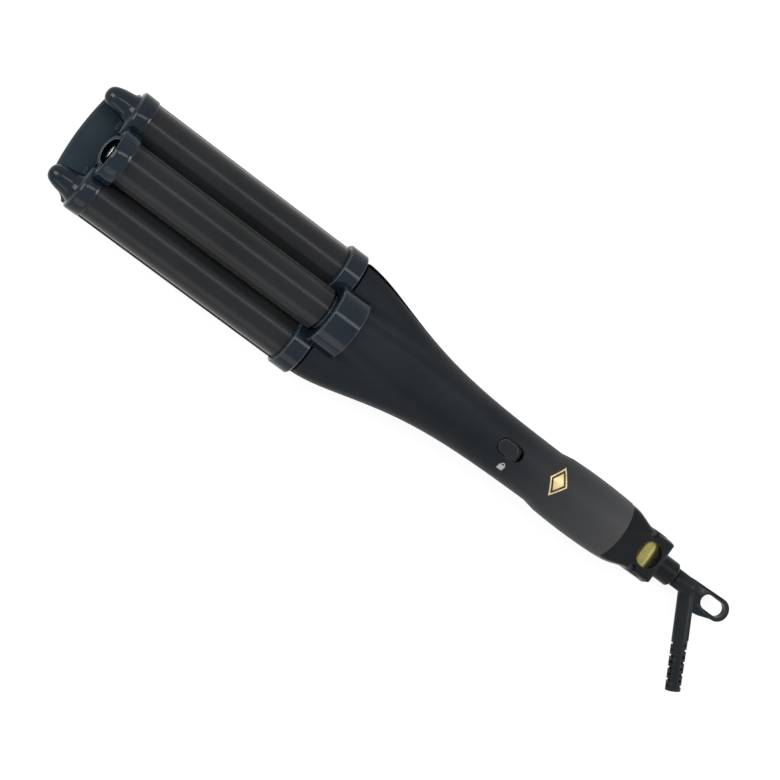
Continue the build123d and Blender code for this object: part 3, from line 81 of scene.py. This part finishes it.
def ramp(tree, value, reach, dark, light):
    """Two colours spread over part of a pattern's range."""
    stops = tree.nodes.new("ShaderNodeValToRGB")
    for stop, position, colour in zip(stops.color_ramp.elements, reach, (dark, light)):
        stop.position = position
        stop.color = (*colour, 1.0)
    tree.links.new(value, stops.inputs["Fac"])
    return stops.outputs["Color"]


def spread(tree, value, reach, to):
    """A pattern's range turned into another range."""
    rule = tree.nodes.new("ShaderNodeMapRange")
    for name, limit in zip(("From Min", "From Max", "To Min", "To Max"), (*reach, *to)):
        rule.inputs[name].default_value = limit
    tree.links.new(value, rule.inputs["Value"])
    return rule.outputs["Result"]


def mixed(tree, share, colour, other):
    """A colour that turns into another one as the share goes from 0 to 1."""
    mix = tree.nodes.new("ShaderNodeMix")
    mix.data_type = "RGBA"
    mix.inputs["B"].default_value = (*other, 1.0)
    tree.links.new(share, mix.inputs["Factor"])
    tree.links.new(colour, mix.inputs["A"])
    return mix.outputs["Result"]


def worn_and_highlit_edges(tree, reach):
    """0 on faces and up to 1 where a face turns a corner, and the softened corner's normal."""
    rounded = tree.nodes.new("ShaderNodeBevel")
    rounded.samples = EDGE_SAMPLES
    rounded.inputs["Radius"].default_value = reach
    geometry = tree.nodes.new("ShaderNodeNewGeometry")
    turn = tree.nodes.new("ShaderNodeVectorMath")
    turn.operation = "DOT_PRODUCT"
    tree.links.new(rounded.outputs["Normal"], turn.inputs[0])
    tree.links.new(geometry.outputs["Normal"], turn.inputs[1])
    wear_and_highlight = spread(tree, turn.outputs["Value"], (1.0, EDGE_LIGHT_TURN), (0.0, 1.0))
    return wear_and_highlight, rounded.outputs["Normal"]


def painted_tail_highlight(tree, coords, colour, highlight_colour):
    """A colour that lightens towards the grip's tail, a painted highlight for the light that falls
    there.
    """
    split = tree.nodes.new("ShaderNodeSeparateXYZ")
    tree.links.new(coords, split.inputs["Vector"])
    return mixed(tree, spread(tree, split.outputs["X"], TAIL_HIGHLIGHT_REACH, (0.0, 1.0)), colour, highlight_colour)


def finish(name, dark, light, rough, grain, grain_height, blotch, stretch=EVEN, edge=None,
           edge_reach=0.4 * MM, metal=0.0, sheen=0.0, specular=0.5, tail_highlight=None):
    """A surface with slow colour variation, fine grain, uneven gloss, lighter edges that are
    partly wear and partly a painted highlight, and a painted highlight towards the grip's tail
    where asked.
    """
    made = bpy.data.materials.new(name)
    made.use_nodes = True
    tree = made.node_tree
    shader = tree.nodes["Principled BSDF"]
    shader.inputs["Metallic"].default_value = metal
    shader.inputs["Sheen Weight"].default_value = sheen
    shader.inputs["Specular IOR Level"].default_value = specular
    coords = tree.nodes.new("ShaderNodeTexCoord").outputs["Object"]
    slow = noise(tree, coords, blotch, BLOTCH_DETAIL)
    fine = noise(tree, coords, grain, GRAIN_DETAIL, stretch)
    colour = ramp(tree, slow, BLOTCH_RANGE, dark, light)
    # painted highlight: the colour lightens towards the grip's tail
    if tail_highlight:
        colour = painted_tail_highlight(tree, coords, colour, tail_highlight)
    wear_and_highlight, rounded = worn_and_highlit_edges(tree, edge_reach)
    # lighter edge colour: partly wear, partly a painted highlight along rims
    if edge:
        colour = mixed(tree, wear_and_highlight, colour, edge)
    tree.links.new(colour, shader.inputs["Base Color"])
    tree.links.new(spread(tree, fine, GRAIN_RANGE, rough), shader.inputs["Roughness"])
    bump = tree.nodes.new("ShaderNodeBump")
    bump.inputs["Strength"].default_value = GRAIN_STRENGTH
    bump.inputs["Distance"].default_value = grain_height
    tree.links.new(fine, bump.inputs["Height"])
    tree.links.new(rounded, bump.inputs["Normal"])
    tree.links.new(bump.outputs["Normal"], shader.inputs["Normal"])
    return made


FINISHES = {
    # the last colour is a painted highlight, lighter towards the grip's tail
    "soft_touch_black": finish(
        "soft touch black", dark=(0.0075, 0.0098, 0.0122), light=(0.0108, 0.0135, 0.0162),
        rough=(0.44, 0.52), grain=2600, grain_height=0.00003, blotch=30,
        edge=(0.03, 0.034, 0.038), specular=0.09, tail_highlight=(0.055, 0.055, 0.056)),
    "cover_black": finish(
        "textured cover black", dark=(0.010, 0.0115, 0.013), light=(0.015, 0.017, 0.019),
        rough=(0.45, 0.6), grain=1800, grain_height=0.00006, blotch=40,
        edge=(0.03, 0.032, 0.035), specular=0.2),
    # the bright edge colour is mostly a painted highlight along the rims of collars and caps,
    # partly wear
    "gloss_teal_black": finish(
        "glossy teal black", dark=(0.0040, 0.0090, 0.0150), light=(0.0070, 0.0140, 0.0215),
        rough=(0.08, 0.13), grain=900, grain_height=0.00001, blotch=50,
        edge=(0.20, 0.235, 0.265), edge_reach=0.6 * MM, specular=0.2),
    "matte_teal": finish(
        "matte teal", dark=(0.014, 0.024, 0.032), light=(0.020, 0.034, 0.045),
        rough=(0.40, 0.5), grain=1400, grain_height=0.00003, blotch=35,
        edge=(0.06, 0.08, 0.10), specular=0.15),
    "shield_black": finish(
        "coated shield black", dark=(0.035, 0.037, 0.040), light=(0.048, 0.050, 0.054),
        rough=(0.34, 0.45), grain=1600, grain_height=0.00003, blotch=45,
        edge=(0.04, 0.04, 0.04), specular=0.15),
    "barrel_ceramic": finish(
        "barrel ceramic", dark=(0.0090, 0.0095, 0.0104), light=(0.0130, 0.0137, 0.0149),
        rough=(0.21, 0.27), grain=1300, grain_height=0.00002, blotch=25, stretch=ALONG,
        edge=(0.08, 0.08, 0.08), sheen=0.06, specular=0.15),
    "white_ceramic": finish(
        "white ceramic", dark=(0.68, 0.66, 0.6), light=(0.8, 0.78, 0.72),
        rough=(0.6, 0.75), grain=1500, grain_height=0.00004, blotch=60),
    "bare_aluminium": finish(
        "extruded aluminium", dark=(0.55, 0.56, 0.57), light=(0.7, 0.71, 0.72),
        rough=(0.3, 0.42), grain=1800, grain_height=0.00003, blotch=50, stretch=ALONG, metal=1.0),
    "board_green": finish(
        "board green", dark=(0.02, 0.11, 0.055), light=(0.03, 0.16, 0.08),
        rough=(0.3, 0.42), grain=1500, grain_height=0.00004, blotch=120),
    "smoked_lens": finish(
        "smoked lens", dark=(0.012, 0.013, 0.015), light=(0.018, 0.019, 0.021),
        rough=(0.05, 0.1), grain=600, grain_height=0.000005, blotch=40),
    "zinc_steel": finish(
        "zinc plated steel", dark=(0.38, 0.38, 0.37), light=(0.52, 0.52, 0.5),
        rough=(0.26, 0.4), grain=2500, grain_height=0.00002, blotch=400,
        edge=(0.7, 0.7, 0.68), metal=1.0),
    "wire_sleeve": finish(
        "silicone sleeve", dark=(0.06, 0.06, 0.06), light=(0.1, 0.1, 0.1),
        rough=(0.5, 0.6), grain=1500, grain_height=0.00003, blotch=80),
    "gold_brass": finish(
        "gold brass", dark=(0.19, 0.165, 0.042), light=(0.29, 0.255, 0.08),
        rough=(0.2, 0.32), grain=2200, grain_height=0.00001, blotch=150,
        edge=(0.8, 0.74, 0.4), metal=0.6),
    "bush_white": finish(
        "bush white", dark=(0.6, 0.6, 0.57), light=(0.72, 0.72, 0.69),
        rough=(0.4, 0.5), grain=1500, grain_height=0.00002, blotch=90),
    "block_black": finish(
        "satin block black", dark=(0.0065, 0.0075, 0.009), light=(0.010, 0.0115, 0.0135),
        rough=(0.24, 0.34), grain=1500, grain_height=0.00002, blotch=50,
        edge=(0.06, 0.066, 0.072), specular=0.10),
    "hook_nylon": finish(
        "hook nylon", dark=(0.03, 0.03, 0.03), light=(0.05, 0.05, 0.05),
        rough=(0.5, 0.6), grain=1500, grain_height=0.00005, blotch=90),
    "button_black": finish(
        "button black", dark=(0.014, 0.015, 0.017), light=(0.021, 0.022, 0.025),
        rough=(0.38, 0.48), grain=1800, grain_height=0.00004, blotch=60,
        edge=(0.06, 0.063, 0.068), specular=0.2),
    "relief_rubber": finish(
        "relief rubber", dark=(0.0095, 0.0125, 0.0145), light=(0.0145, 0.018, 0.021),
        rough=(0.26, 0.36), grain=1500, grain_height=0.00003, blotch=60,
        edge=(0.07, 0.078, 0.084), specular=0.08),
    # the lighter edge colour is a painted highlight on the knob's rim, partly wear
    "knob_gloss": finish(
        "knob gloss black", dark=(0.0045, 0.0060, 0.0075), light=(0.0075, 0.0095, 0.0115),
        rough=(0.08, 0.14), grain=900, grain_height=0.00001, blotch=60,
        edge=(0.13, 0.14, 0.15), edge_reach=0.5 * MM, specular=0.24),
    "black_oxide": finish(
        "blackened steel", dark=(0.02, 0.021, 0.023), light=(0.04, 0.042, 0.045),
        rough=(0.28, 0.4), grain=2500, grain_height=0.00002, blotch=400,
        edge=(0.2, 0.2, 0.2), metal=0.9),
    "mark_gold": finish(
        "mark gold", dark=(0.55, 0.42, 0.2), light=(0.72, 0.56, 0.3),
        rough=(0.3, 0.42), grain=1800, grain_height=0.00001, blotch=300, metal=0.3, specular=0.3),
    "mark_grey": finish(
        "mark grey", dark=(0.3, 0.31, 0.32), light=(0.4, 0.41, 0.42),
        rough=(0.5, 0.6), grain=1800, grain_height=0.00001, blotch=200, specular=0.2),
}
BLACKENED = ("hinge_block_screws", "pin_grub_screws")    # fasteners darker than the others
OWN_FINISH = {"lock_knob": "knob_gloss", **{node: "black_oxide" for node in BLACKENED}}

for part in frame["record"]["subparts"]:
    node = frame["nodes"][part["node"]]
    node.data.materials.clear()
    node.data.materials.append(FINISHES[OWN_FINISH.get(part["node"], part["material_slot"])])


# ---- Room, lamps and camera ---------------------------------------------------------------------

ROOM_LIGHT = (0.96, 0.98, 1.0, 1.0)
ROOM_STRENGTH = 0.42
FLOOR_REACH = 4.0
FLOOR_DROP = 0.0002              # floor's gap below the tool, so that the two faces don't mix
FLOOR_COLOUR = (0.75, 0.75, 0.75, 1.0)
FLOOR_SHADE = (0.16, 0.16, 0.16, 1.0)    # part of the seen floor that the tool's shadow darkens
FLOOR_GLOW = 0.9                         # and the part that it doesn't

TOOL_MIDDLE = (-0.16, 0.0, 0.02)
GRIP_TAIL = (-0.05, 0.0, 0.02)
HORNS = (-0.33, 0.0, 0.02)
LAMPS = (                        # name, place, aim, width, height, watts
    ("left panel", (-0.20, -0.95, 0.42), TOOL_MIDDLE, 1.2, 0.5, 2.4),
    ("top strip", (-0.20, 0.30, 0.94), TOOL_MIDDLE, 1.1, 0.16, 2.8),
    ("tail box", (0.72, 0.36, 0.74), GRIP_TAIL, 0.4, 0.4, 5.0),
    ("front glint", (-1.15, 0.0, 0.78), HORNS, 0.6, 0.6, 8.0),
)

CAMERA_PLACE = (-0.48383, -0.06865, 1.15918)
CAMERA_TURN = (-7.3406, -14.5371, 37.1921)    # degrees
CAMERA_SENSOR = 36.0                          # millimetres, as is the lens
CAMERA_LENS = 114.0
CAMERA_REACH = (0.01, 20.0)


def seen_as_backdrop(tree):
    """1 where the camera, a gloss reflection or glass looks, 0 where it only lights others."""
    path = tree.nodes.new("ShaderNodeLightPath")
    value = path.outputs["Is Camera Ray"]
    for kind in ("Is Glossy Ray", "Is Transmission Ray"):
        either = tree.nodes.new("ShaderNodeMath")
        either.operation = "MAXIMUM"
        tree.links.new(value, either.inputs[0])
        tree.links.new(path.outputs[kind], either.inputs[1])
        value = either.outputs["Value"]
    return value


def backdrop(tree, lighting, seen, out):
    """One shader for lighting others and another for being seen."""
    choice = tree.nodes.new("ShaderNodeMixShader")
    tree.links.new(seen_as_backdrop(tree), choice.inputs["Fac"])
    tree.links.new(lighting, choice.inputs[1])
    tree.links.new(seen, choice.inputs[2])
    tree.links.new(choice.outputs["Shader"], out.inputs["Surface"])


def white_room():
    """A white surround that gives a soft, even light."""
    world = bpy.data.worlds.new("white room")
    bpy.context.scene.world = world
    world.use_nodes = True
    tree = world.node_tree
    soft = tree.nodes["Background"]
    soft.inputs["Color"].default_value = ROOM_LIGHT
    soft.inputs["Strength"].default_value = ROOM_STRENGTH
    bright = tree.nodes.new("ShaderNodeBackground")
    bright.inputs["Color"].default_value = (1.0, 1.0, 1.0, 1.0)
    bright.inputs["Strength"].default_value = 1.0
    backdrop(tree, soft.outputs["Background"], bright.outputs["Background"],
             tree.nodes["World Output"])


def white_floor():
    """A pale floor that is seen as white, with the tool's shadow left on it."""
    mesh = bpy.data.meshes.new("floor")
    floor = bpy.data.objects.new("floor", mesh)
    bpy.context.collection.objects.link(floor)
    form = bmesh.new()
    bmesh.ops.create_grid(form, x_segments=1, y_segments=1, size=FLOOR_REACH)
    bmesh.ops.translate(form, verts=form.verts, vec=(0, 0, -FLOOR_DROP))
    form.to_mesh(mesh)
    form.free()
    made = bpy.data.materials.new("white floor")
    made.use_nodes = True
    tree = made.node_tree
    tree.nodes.remove(tree.nodes["Principled BSDF"])
    plain = tree.nodes.new("ShaderNodeBsdfDiffuse")
    plain.inputs["Color"].default_value = FLOOR_COLOUR
    shade = tree.nodes.new("ShaderNodeBsdfDiffuse")
    shade.inputs["Color"].default_value = FLOOR_SHADE
    glow = tree.nodes.new("ShaderNodeEmission")
    glow.inputs["Strength"].default_value = FLOOR_GLOW
    lit = tree.nodes.new("ShaderNodeAddShader")
    tree.links.new(shade.outputs["BSDF"], lit.inputs[0])
    tree.links.new(glow.outputs["Emission"], lit.inputs[1])
    backdrop(tree, plain.outputs["BSDF"], lit.outputs["Shader"], tree.nodes["Material Output"])
    mesh.materials.append(made)


def soft_lamp(name, place, aim, width, height, watts):
    """A rectangular soft box that points from one place to another."""
    data = bpy.data.lights.new(name, "AREA")
    data.shape = "RECTANGLE"
    data.size, data.size_y = width, height
    data.energy = watts
    lamp = bpy.data.objects.new(name, data)
    bpy.context.collection.objects.link(lamp)
    lamp.location = place
    lamp.rotation_euler = (Vector(aim) - Vector(place)).to_track_quat("-Z", "Y").to_euler()


def camera():
    """The camera, high above the horns, with the tool slanting down across the frame."""
    data = bpy.data.cameras.new("camera")
    data.sensor_width = CAMERA_SENSOR
    data.lens = CAMERA_LENS
    data.clip_start, data.clip_end = CAMERA_REACH
    seat = bpy.data.objects.new("camera", data)
    bpy.context.collection.objects.link(seat)
    seat.location = CAMERA_PLACE
    seat.rotation_euler = [math.radians(angle) for angle in CAMERA_TURN]
    bpy.context.scene.camera = seat


white_room()
white_floor()
for lamp in LAMPS:
    soft_lamp(*lamp)
camera()
bpy.context.scene.view_settings.view_transform = "Standard"


# ---- Added pieces -------------------------------------------------------------------------------

TOUCHING = 0.000002              # vertices nearer than this are one
SLIVER = 0.0000005               # an edge shorter than this is left over from a cut
SAME_LEVEL = 0.00001             # vertices whose heights differ by less lie on one face
CORNER = math.radians(32)        # a sharper turn than this is an edge

# Horns
HORN_LENGTH = 14.6 * MM
HORN_R = 6.8 * MM
HORN_Y = 22.3 * MM
HORN_Z = 13.5 * MM
HORN_FLARE = 1.0 * MM            # how far the horn's root spreads over its collar
HORN_FLARE_LENGTH = 4.0 * MM
HORN_FLARE_POWER = 2
HORN_RINGS = 4                   # cuts around the root, for the flare to bend at
HORN_RING_PITCH = 0.3 * MM
HORN_SLIMMER = 0.10              # share by which the tip is slimmer than a plain bullet
HORN_SLIM_RATE = 1.4             # horn's length over the length that it slims along
HORN_SLIM_POWER = 1.5

CENTER_CAP_LENGTH = 8.7 * MM
NOSE_FLATTER = 0.62              # nose's length as a share of the solid's

# Strain relief. The branch's own axes are along it, across it and up. A slot is given by its low
# and high corner, across and up.
BRANCH_ANGLE = math.radians(-60.4)
BRANCH_LENGTH = 54.0 * MM
BRANCH_BEND = Vector((34.1, 0, 8.0)) * MM
RIB_COUNT = 8
RIB_PITCH = 3.1 * MM
RIB_END = 2.4 * MM
RIB_SLOT = 1.5 * MM
LOOP_SIDE_SLOT = ((0.8 * MM, 1.0 * MM), (6.0 * MM, 6.0 * MM))
FAR_SIDE_SLOT = ((-6.0 * MM, -2.0 * MM), (-2.7 * MM, 6.0 * MM))
RIDGE_MIDDLE = Vector((14.5, 2.7, 3.1)) * MM
RIDGE_LENGTH = 26.0 * MM
RIDGE_ROOT_R = 0.48 * MM
RIDGE_TIP_R = 0.8 * MM
RIDGE_SEGMENTS = 16
RIDGE_BEVEL = 0.3 * MM
BEVEL_SEGMENTS = 3
SHARP = 1.0                      # radians, between a ridge's side and its end
WEB_CORNERS = [Vector(place) * MM for place in ((38.5, -4.0), (43.4, -9.6), (47.0, -9.0),
                                                (54.6, -6.5), (45.0, -5.0))]
WEB_LOW = 6.1 * MM
WEB_THICKNESS = 3.8 * MM

# Cross recesses
CROSS_LENGTH = 3.0 * MM
CROSS_WIDTH = 0.55 * MM
CROSS_DEPTH = 0.7 * MM

# Marks and signs
MARK_THICKNESS = 0.06 * MM
SIGN_THICKNESS = 0.15 * MM
SUNK_SHARE = 0.2                 # of a mark's thickness, into what carries it
ABOVE_ALL = 1.0                  # a height over the whole tool
BAR_SEGMENTS = (6, 3)
ARC_STEPS = 24

LOZENGE_PLACE = Vector((-64.0, 1.5, 0)) * MM
LOZENGE_R = 8.2 * MM
LOZENGE_SQUEEZE = 0.62
LOZENGE_FRAME = 0.75 * MM
LOZENGE_GAP = 0.9 * MM
LOZENGE_CUTS = 5                 # along each edge, so that the mark bends with the handle

PADLOCK_PLACE = Vector((-91.8, -9.3, 0)) * MM
PADLOCK_LENGTH = 3.4 * MM
PADLOCK_WIDTH = 2.5 * MM
SHACKLE_R = 1.0 * MM
SHACKLE_WIDTH = 0.5 * MM
SHACKLE_RISE = 1.2 * MM

POWER_RING_R = 1.35 * MM
POWER_LINE = 0.4 * MM
POWER_BAR = 1.3 * MM
POWER_BAR_RISE = 1.1 * MM
POWER_START = math.radians(120)
POWER_SWEEP = math.radians(300)
PLUS_REACH = 1.25 * MM
PLUS_SQUARES = 5
PLUS_HALF_LINE = 0.3 * MM


def made_piece(name, form, surface, body):
    """A form made into a piece that moves with a body."""
    mesh = bpy.data.meshes.new(name)
    form.to_mesh(mesh)
    form.free()
    mesh.materials.append(FINISHES[surface])
    mesh.shade_smooth()
    mesh.set_sharp_from_angle(angle=CORNER)
    piece = bpy.data.objects.new(name, mesh)
    bpy.context.collection.objects.link(piece)
    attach(piece, body)
    return piece


def node_form(node):
    """A copy of a node's mesh with its loose triangles joined."""
    form = bmesh.new()
    form.from_mesh(frame["nodes"][node].data)
    bmesh.ops.remove_doubles(form, verts=form.verts, dist=TOUCHING)
    return form


def joined(form, tool, how):
    """One form less another, or with it, as a new form."""
    held = []
    for part in (form, tool):
        mesh = bpy.data.meshes.new("bench")
        part.to_mesh(mesh)
        part.free()
        held.append(bpy.data.objects.new("bench", mesh))
        bpy.context.collection.objects.link(held[-1])
    rule = held[0].modifiers.new("join", "BOOLEAN")
    rule.object, rule.operation, rule.solver, rule.use_self = held[1], how, "EXACT", True
    ready = held[0].evaluated_get(bpy.context.evaluated_depsgraph_get())
    shape = bpy.data.meshes.new_from_object(ready)
    result = bmesh.new()
    result.from_mesh(shape)
    bpy.data.meshes.remove(shape)
    for bench in held:
        bpy.data.meshes.remove(bench.data)
    bmesh.ops.remove_doubles(result, verts=result.verts, dist=SLIVER)
    bmesh.ops.dissolve_degenerate(result, edges=result.edges, dist=SLIVER)
    loose = [v for v in result.verts if not v.link_faces]
    bmesh.ops.delete(result, geom=loose, context="VERTS")
    return result


def bar(form, low, high, place):
    """A box between two corners of a place's own axes."""
    size = [b - a for a, b in zip(low, high)]
    middle = [(a + b) / 2 for a, b in zip(low, high)]
    matrix = place @ Matrix.Translation(middle) @ Matrix.Diagonal((*size, 1.0))
    bmesh.ops.create_cube(form, size=1.0, matrix=matrix)


def thickened(form, thickness):
    """A flat form made into a plate."""
    raised = bmesh.ops.extrude_face_region(form, geom=form.faces[:])["geom"]
    top = [v for v in raised if isinstance(v, bmesh.types.BMVert)]
    bmesh.ops.translate(form, verts=top, vec=(0, 0, thickness))
    bmesh.ops.recalc_face_normals(form, faces=form.faces)
    return form


def shaped_horn(node):
    """A front cap whose horn narrows to its tip and spreads into the collar."""
    form = node_form(node)
    low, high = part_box(node)
    root_x = low[0] + HORN_LENGTH
    axis_y = math.copysign(HORN_Y, low[1] + high[1])
    for ring in range(1, HORN_RINGS + 1):
        bmesh.ops.bisect_plane(form, geom=form.verts[:] + form.edges[:] + form.faces[:],
                               dist=TOUCHING, plane_co=(root_x - HORN_RING_PITCH * ring, 0, 0),
                               plane_no=(1, 0, 0))
    for vert in form.verts:
        ahead = root_x - vert.co.x
        arm = Vector((0, vert.co.y - axis_y, vert.co.z - HORN_Z))
        if ahead < -TOUCHING or arm.length > HORN_R + TOUCHING or arm.length < TOUCHING:
            continue
        slimmed = min(1.0, max(0.0, ahead) / HORN_LENGTH * HORN_SLIM_RATE)
        flared = max(0.0, 1.0 - ahead / HORN_FLARE_LENGTH)
        arm *= (1.0 - HORN_SLIMMER * slimmed ** HORN_SLIM_POWER
                + HORN_FLARE * flared ** HORN_FLARE_POWER / arm.length)
        vert.co.y, vert.co.z = axis_y + arm.y, HORN_Z + arm.z
    return form


def shallow_nose():
    """The centre front cap with its hollow nose drawn in to a shallow lens."""
    form = node_form("center_front_cap")
    disc_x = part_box("center_barrel")[0][0] - CENTER_CAP_LENGTH
    for vert in form.verts:
        if vert.co.x < disc_x:
            vert.co.x = disc_x + (vert.co.x - disc_x) * NOSE_FLATTER
    return form


def rib_slots(branch):
    """The cuts between the ribs, on both sides of the branch."""
    form = bmesh.new()
    for step in range(RIB_COUNT):
        along = BRANCH_LENGTH - RIB_END - step * RIB_PITCH
        for low, high in (LOOP_SIDE_SLOT, FAR_SIDE_SLOT):
            bar(form, (along - RIB_SLOT / 2, *low), (along + RIB_SLOT / 2, *high), branch)
    return form


def branch_ridge(branch):
    """A low rounded ridge down the branch."""
    form = bmesh.new()
    lie = branch @ Matrix.Translation(RIDGE_MIDDLE) @ Matrix.Rotation(math.pi / 2, 4, "Y")
    bmesh.ops.create_cone(form, cap_ends=True, segments=RIDGE_SEGMENTS, radius1=RIDGE_ROOT_R,
                          radius2=RIDGE_TIP_R, depth=RIDGE_LENGTH, matrix=lie)
    ends = [e for e in form.edges if e.calc_face_angle(0) > SHARP]
    bmesh.ops.bevel(form, geom=ends, offset=RIDGE_BEVEL, segments=BEVEL_SEGMENTS, profile=0.5,
                    affect="EDGES", material=-1)
    return form


def loop_web():
    """The web that fills the corner between the branch and the hang loop."""
    form = bmesh.new()
    form.faces.new([form.verts.new((*corner, WEB_LOW)) for corner in WEB_CORNERS])
    return thickened(form, WEB_THICKNESS)


def ribbed_relief():
    """The strain relief with deep rib slots, a ridge down the branch and a web to the loop."""
    branch = Matrix.Translation(BRANCH_BEND) @ Matrix.Rotation(BRANCH_ANGLE, 4, "Z")
    form = joined(node_form("strain_relief"), rib_slots(branch), "DIFFERENCE")
    form = joined(form, branch_ridge(branch), "UNION")
    return joined(form, loop_web(), "UNION")


def separate_groups(form):
    """The form's connected groups of vertices."""
    left, groups = set(form.verts), []
    while left:
        reach, group = [left.pop()], []
        while reach:
            vert = reach.pop()
            group.append(vert)
            fresh = [e.other_vert(vert) for e in vert.link_edges if e.other_vert(vert) in left]
            left.difference_update(fresh)
            reach.extend(fresh)
        groups.append(group)
    return groups


def head_place(group, axis):
    """The middle of a screw's head face, which is the wider of its two ends along the axis."""
    spans = [(min(v.co[i] for v in group), max(v.co[i] for v in group)) for i in range(3)]
    place = Vector([(low + high) / 2 for low, high in spans])
    across = [i for i in range(3) if i != axis]

    def width(level):
        return max(abs(v.co[i] - place[i]) for v in group for i in across
                   if abs(v.co[axis] - level) < SAME_LEVEL)

    place[axis] = max(spans[axis], key=width)
    return place


def crossed_screws(node, axis):
    """The node's screws, which lie along the axis, with a cross recess in each head."""
    form = node_form(node)
    tool = bmesh.new()
    half, thin = CROSS_LENGTH / 2, CROSS_WIDTH / 2
    for group in separate_groups(form):
        place = Matrix.Translation(head_place(group, axis))
        if axis == 0:
            place = place @ Matrix.Rotation(math.pi / 2, 4, "Y")
        bar(tool, (-half, -thin, -CROSS_DEPTH), (half, thin, CROSS_DEPTH), place)
        bar(tool, (-thin, -half, -CROSS_DEPTH), (thin, half, CROSS_DEPTH), place)
    return joined(form, tool, "DIFFERENCE")


def laid_on(form, node, thickness):
    """A flat form dropped onto a node from above and given a thickness."""
    tree = BVHTree.FromBMesh(node_form(node))
    for vert in form.verts:
        hit = tree.ray_cast(Vector((vert.co.x, vert.co.y, ABOVE_ALL)), Vector((0, 0, -1)))
        vert.co.z = hit[0].z - thickness * SUNK_SHARE
    return thickened(form, thickness * (1 + SUNK_SHARE))


def flat_bar(form, length, width, place):
    """A flat rectangle in small squares."""
    matrix = place @ Matrix.Diagonal((length / 2, width / 2, 1, 1))
    bmesh.ops.create_grid(form, x_segments=BAR_SEGMENTS[0], y_segments=BAR_SEGMENTS[1], size=1.0,
                          matrix=matrix)


def flat_arc(form, radius, width, start, sweep, place):
    """A flat band bent round a centre, from one angle through another."""
    ends = [form.verts.new(place @ Vector((radius + side * width / 2, 0, 0)))
            for side in (-1, 0, 1)]
    edges = [form.edges.new(ends[:2]), form.edges.new(ends[1:])]
    centre = place.translation
    turn = (Matrix.Translation(centre) @ Matrix.Rotation(start, 4, "Z")
            @ Matrix.Translation(-centre))
    bmesh.ops.transform(form, matrix=turn, verts=ends)
    bmesh.ops.spin(form, geom=ends + edges, cent=centre, axis=(0, 0, 1), angle=sweep,
                   steps=ARC_STEPS)


def gold_lozenge():
    """A plain lozenge frame with a small lozenge inside, across the handle."""
    form = bmesh.new()
    place = Matrix.Translation(LOZENGE_PLACE) @ Matrix.Diagonal((LOZENGE_SQUEEZE, 1, 1, 1))
    bmesh.ops.create_circle(form, cap_ends=True, segments=4, radius=LOZENGE_R, matrix=place)
    middle = form.faces[:]
    bmesh.ops.inset_region(form, faces=middle, thickness=LOZENGE_FRAME, use_boundary=True,
                           use_even_offset=True)
    gap = bmesh.ops.inset_region(form, faces=middle, thickness=LOZENGE_GAP, use_boundary=True,
                                 use_even_offset=True)["faces"]
    bmesh.ops.delete(form, geom=gap, context="FACES")
    bmesh.ops.triangulate(form, faces=form.faces)
    bmesh.ops.subdivide_edges(form, edges=form.edges, cuts=LOZENGE_CUTS, use_grid_fill=True)
    return form


def padlock():
    """A small padlock beside the lock's slot."""
    form = bmesh.new()
    place = Matrix.Translation(PADLOCK_PLACE)
    flat_bar(form, PADLOCK_LENGTH, PADLOCK_WIDTH, place)
    flat_arc(form, SHACKLE_R, SHACKLE_WIDTH, 0.0, math.pi,
             place @ Matrix.Translation((0, SHACKLE_RISE, 0)))
    return form


def power_sign(place):
    """A broken ring with a bar in its gap."""
    form = bmesh.new()
    flat_arc(form, POWER_RING_R, POWER_LINE, POWER_START, POWER_SWEEP, place)
    flat_bar(form, POWER_LINE, POWER_BAR, place @ Matrix.Translation((0, POWER_BAR_RISE, 0)))
    return form


def plus_or_minus(place, plus):
    """A bar, with a second bar across it for a plus."""
    form = bmesh.new()
    bmesh.ops.create_grid(form, x_segments=PLUS_SQUARES, y_segments=PLUS_SQUARES, size=PLUS_REACH,
                          matrix=place)
    spare = []
    for face in form.faces:
        off = face.calc_center_median() - place.translation
        if abs(off.y) >= PLUS_HALF_LINE and not (plus and abs(off.x) < PLUS_HALF_LINE):
            spare.append(face)
    bmesh.ops.delete(form, geom=spare, context="FACES")
    return form


def button_sign(node):
    """The raised sign on a control button."""
    low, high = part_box(node)
    place = Matrix.Translation(((low[0] + high[0]) / 2, (low[1] + high[1]) / 2, 0))
    if node == "power_button":
        return power_sign(place)
    return plus_or_minus(place, plus=node == "temp_up_button")


for node in ("left_front_cap", "right_front_cap"):
    cap = made_piece(node + "_shaped", shaped_horn(node), "gloss_teal_black",
                     "lower_arm")
    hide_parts(node)
nose = made_piece("center_front_cap_shaped", shallow_nose(), "gloss_teal_black",
                  "upper_arm")
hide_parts("center_front_cap")
relief = made_piece("strain_relief_shaped", ribbed_relief(), "relief_rubber",
                    "cord_swivel")
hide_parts("strain_relief")

SCREWS = {"lower_cover_screws": "lower_arm", "heat_shield_screws": "lower_arm",
          "hinge_barrel_screws": "lower_arm", "upper_cover_screws": "upper_arm",
          "hinge_block_screws": "upper_arm", "center_front_screw": "upper_arm"}
for node, body in SCREWS.items():
    surface = "black_oxide" if node in BLACKENED else "zinc_steel"
    axis = 0 if node == "center_front_screw" else 2
    screws = made_piece(node + "_crossed", crossed_screws(node, axis), surface, body)
    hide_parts(node)

made_piece("gold_lozenge", laid_on(gold_lozenge(), "upper_housing", MARK_THICKNESS), "mark_gold",
           "upper_arm")
made_piece("padlock_sign", laid_on(padlock(), "upper_housing", MARK_THICKNESS), "mark_grey",
           "upper_arm")

BUTTONS = {"power_button": "power_switch", "temp_down_button": "temp_down_switch",
           "temp_up_button": "temp_up_switch"}
for node, body in BUTTONS.items():
    made_piece(node + "_sign", laid_on(button_sign(node), node, SIGN_THICKNESS), "mark_grey",
               body)
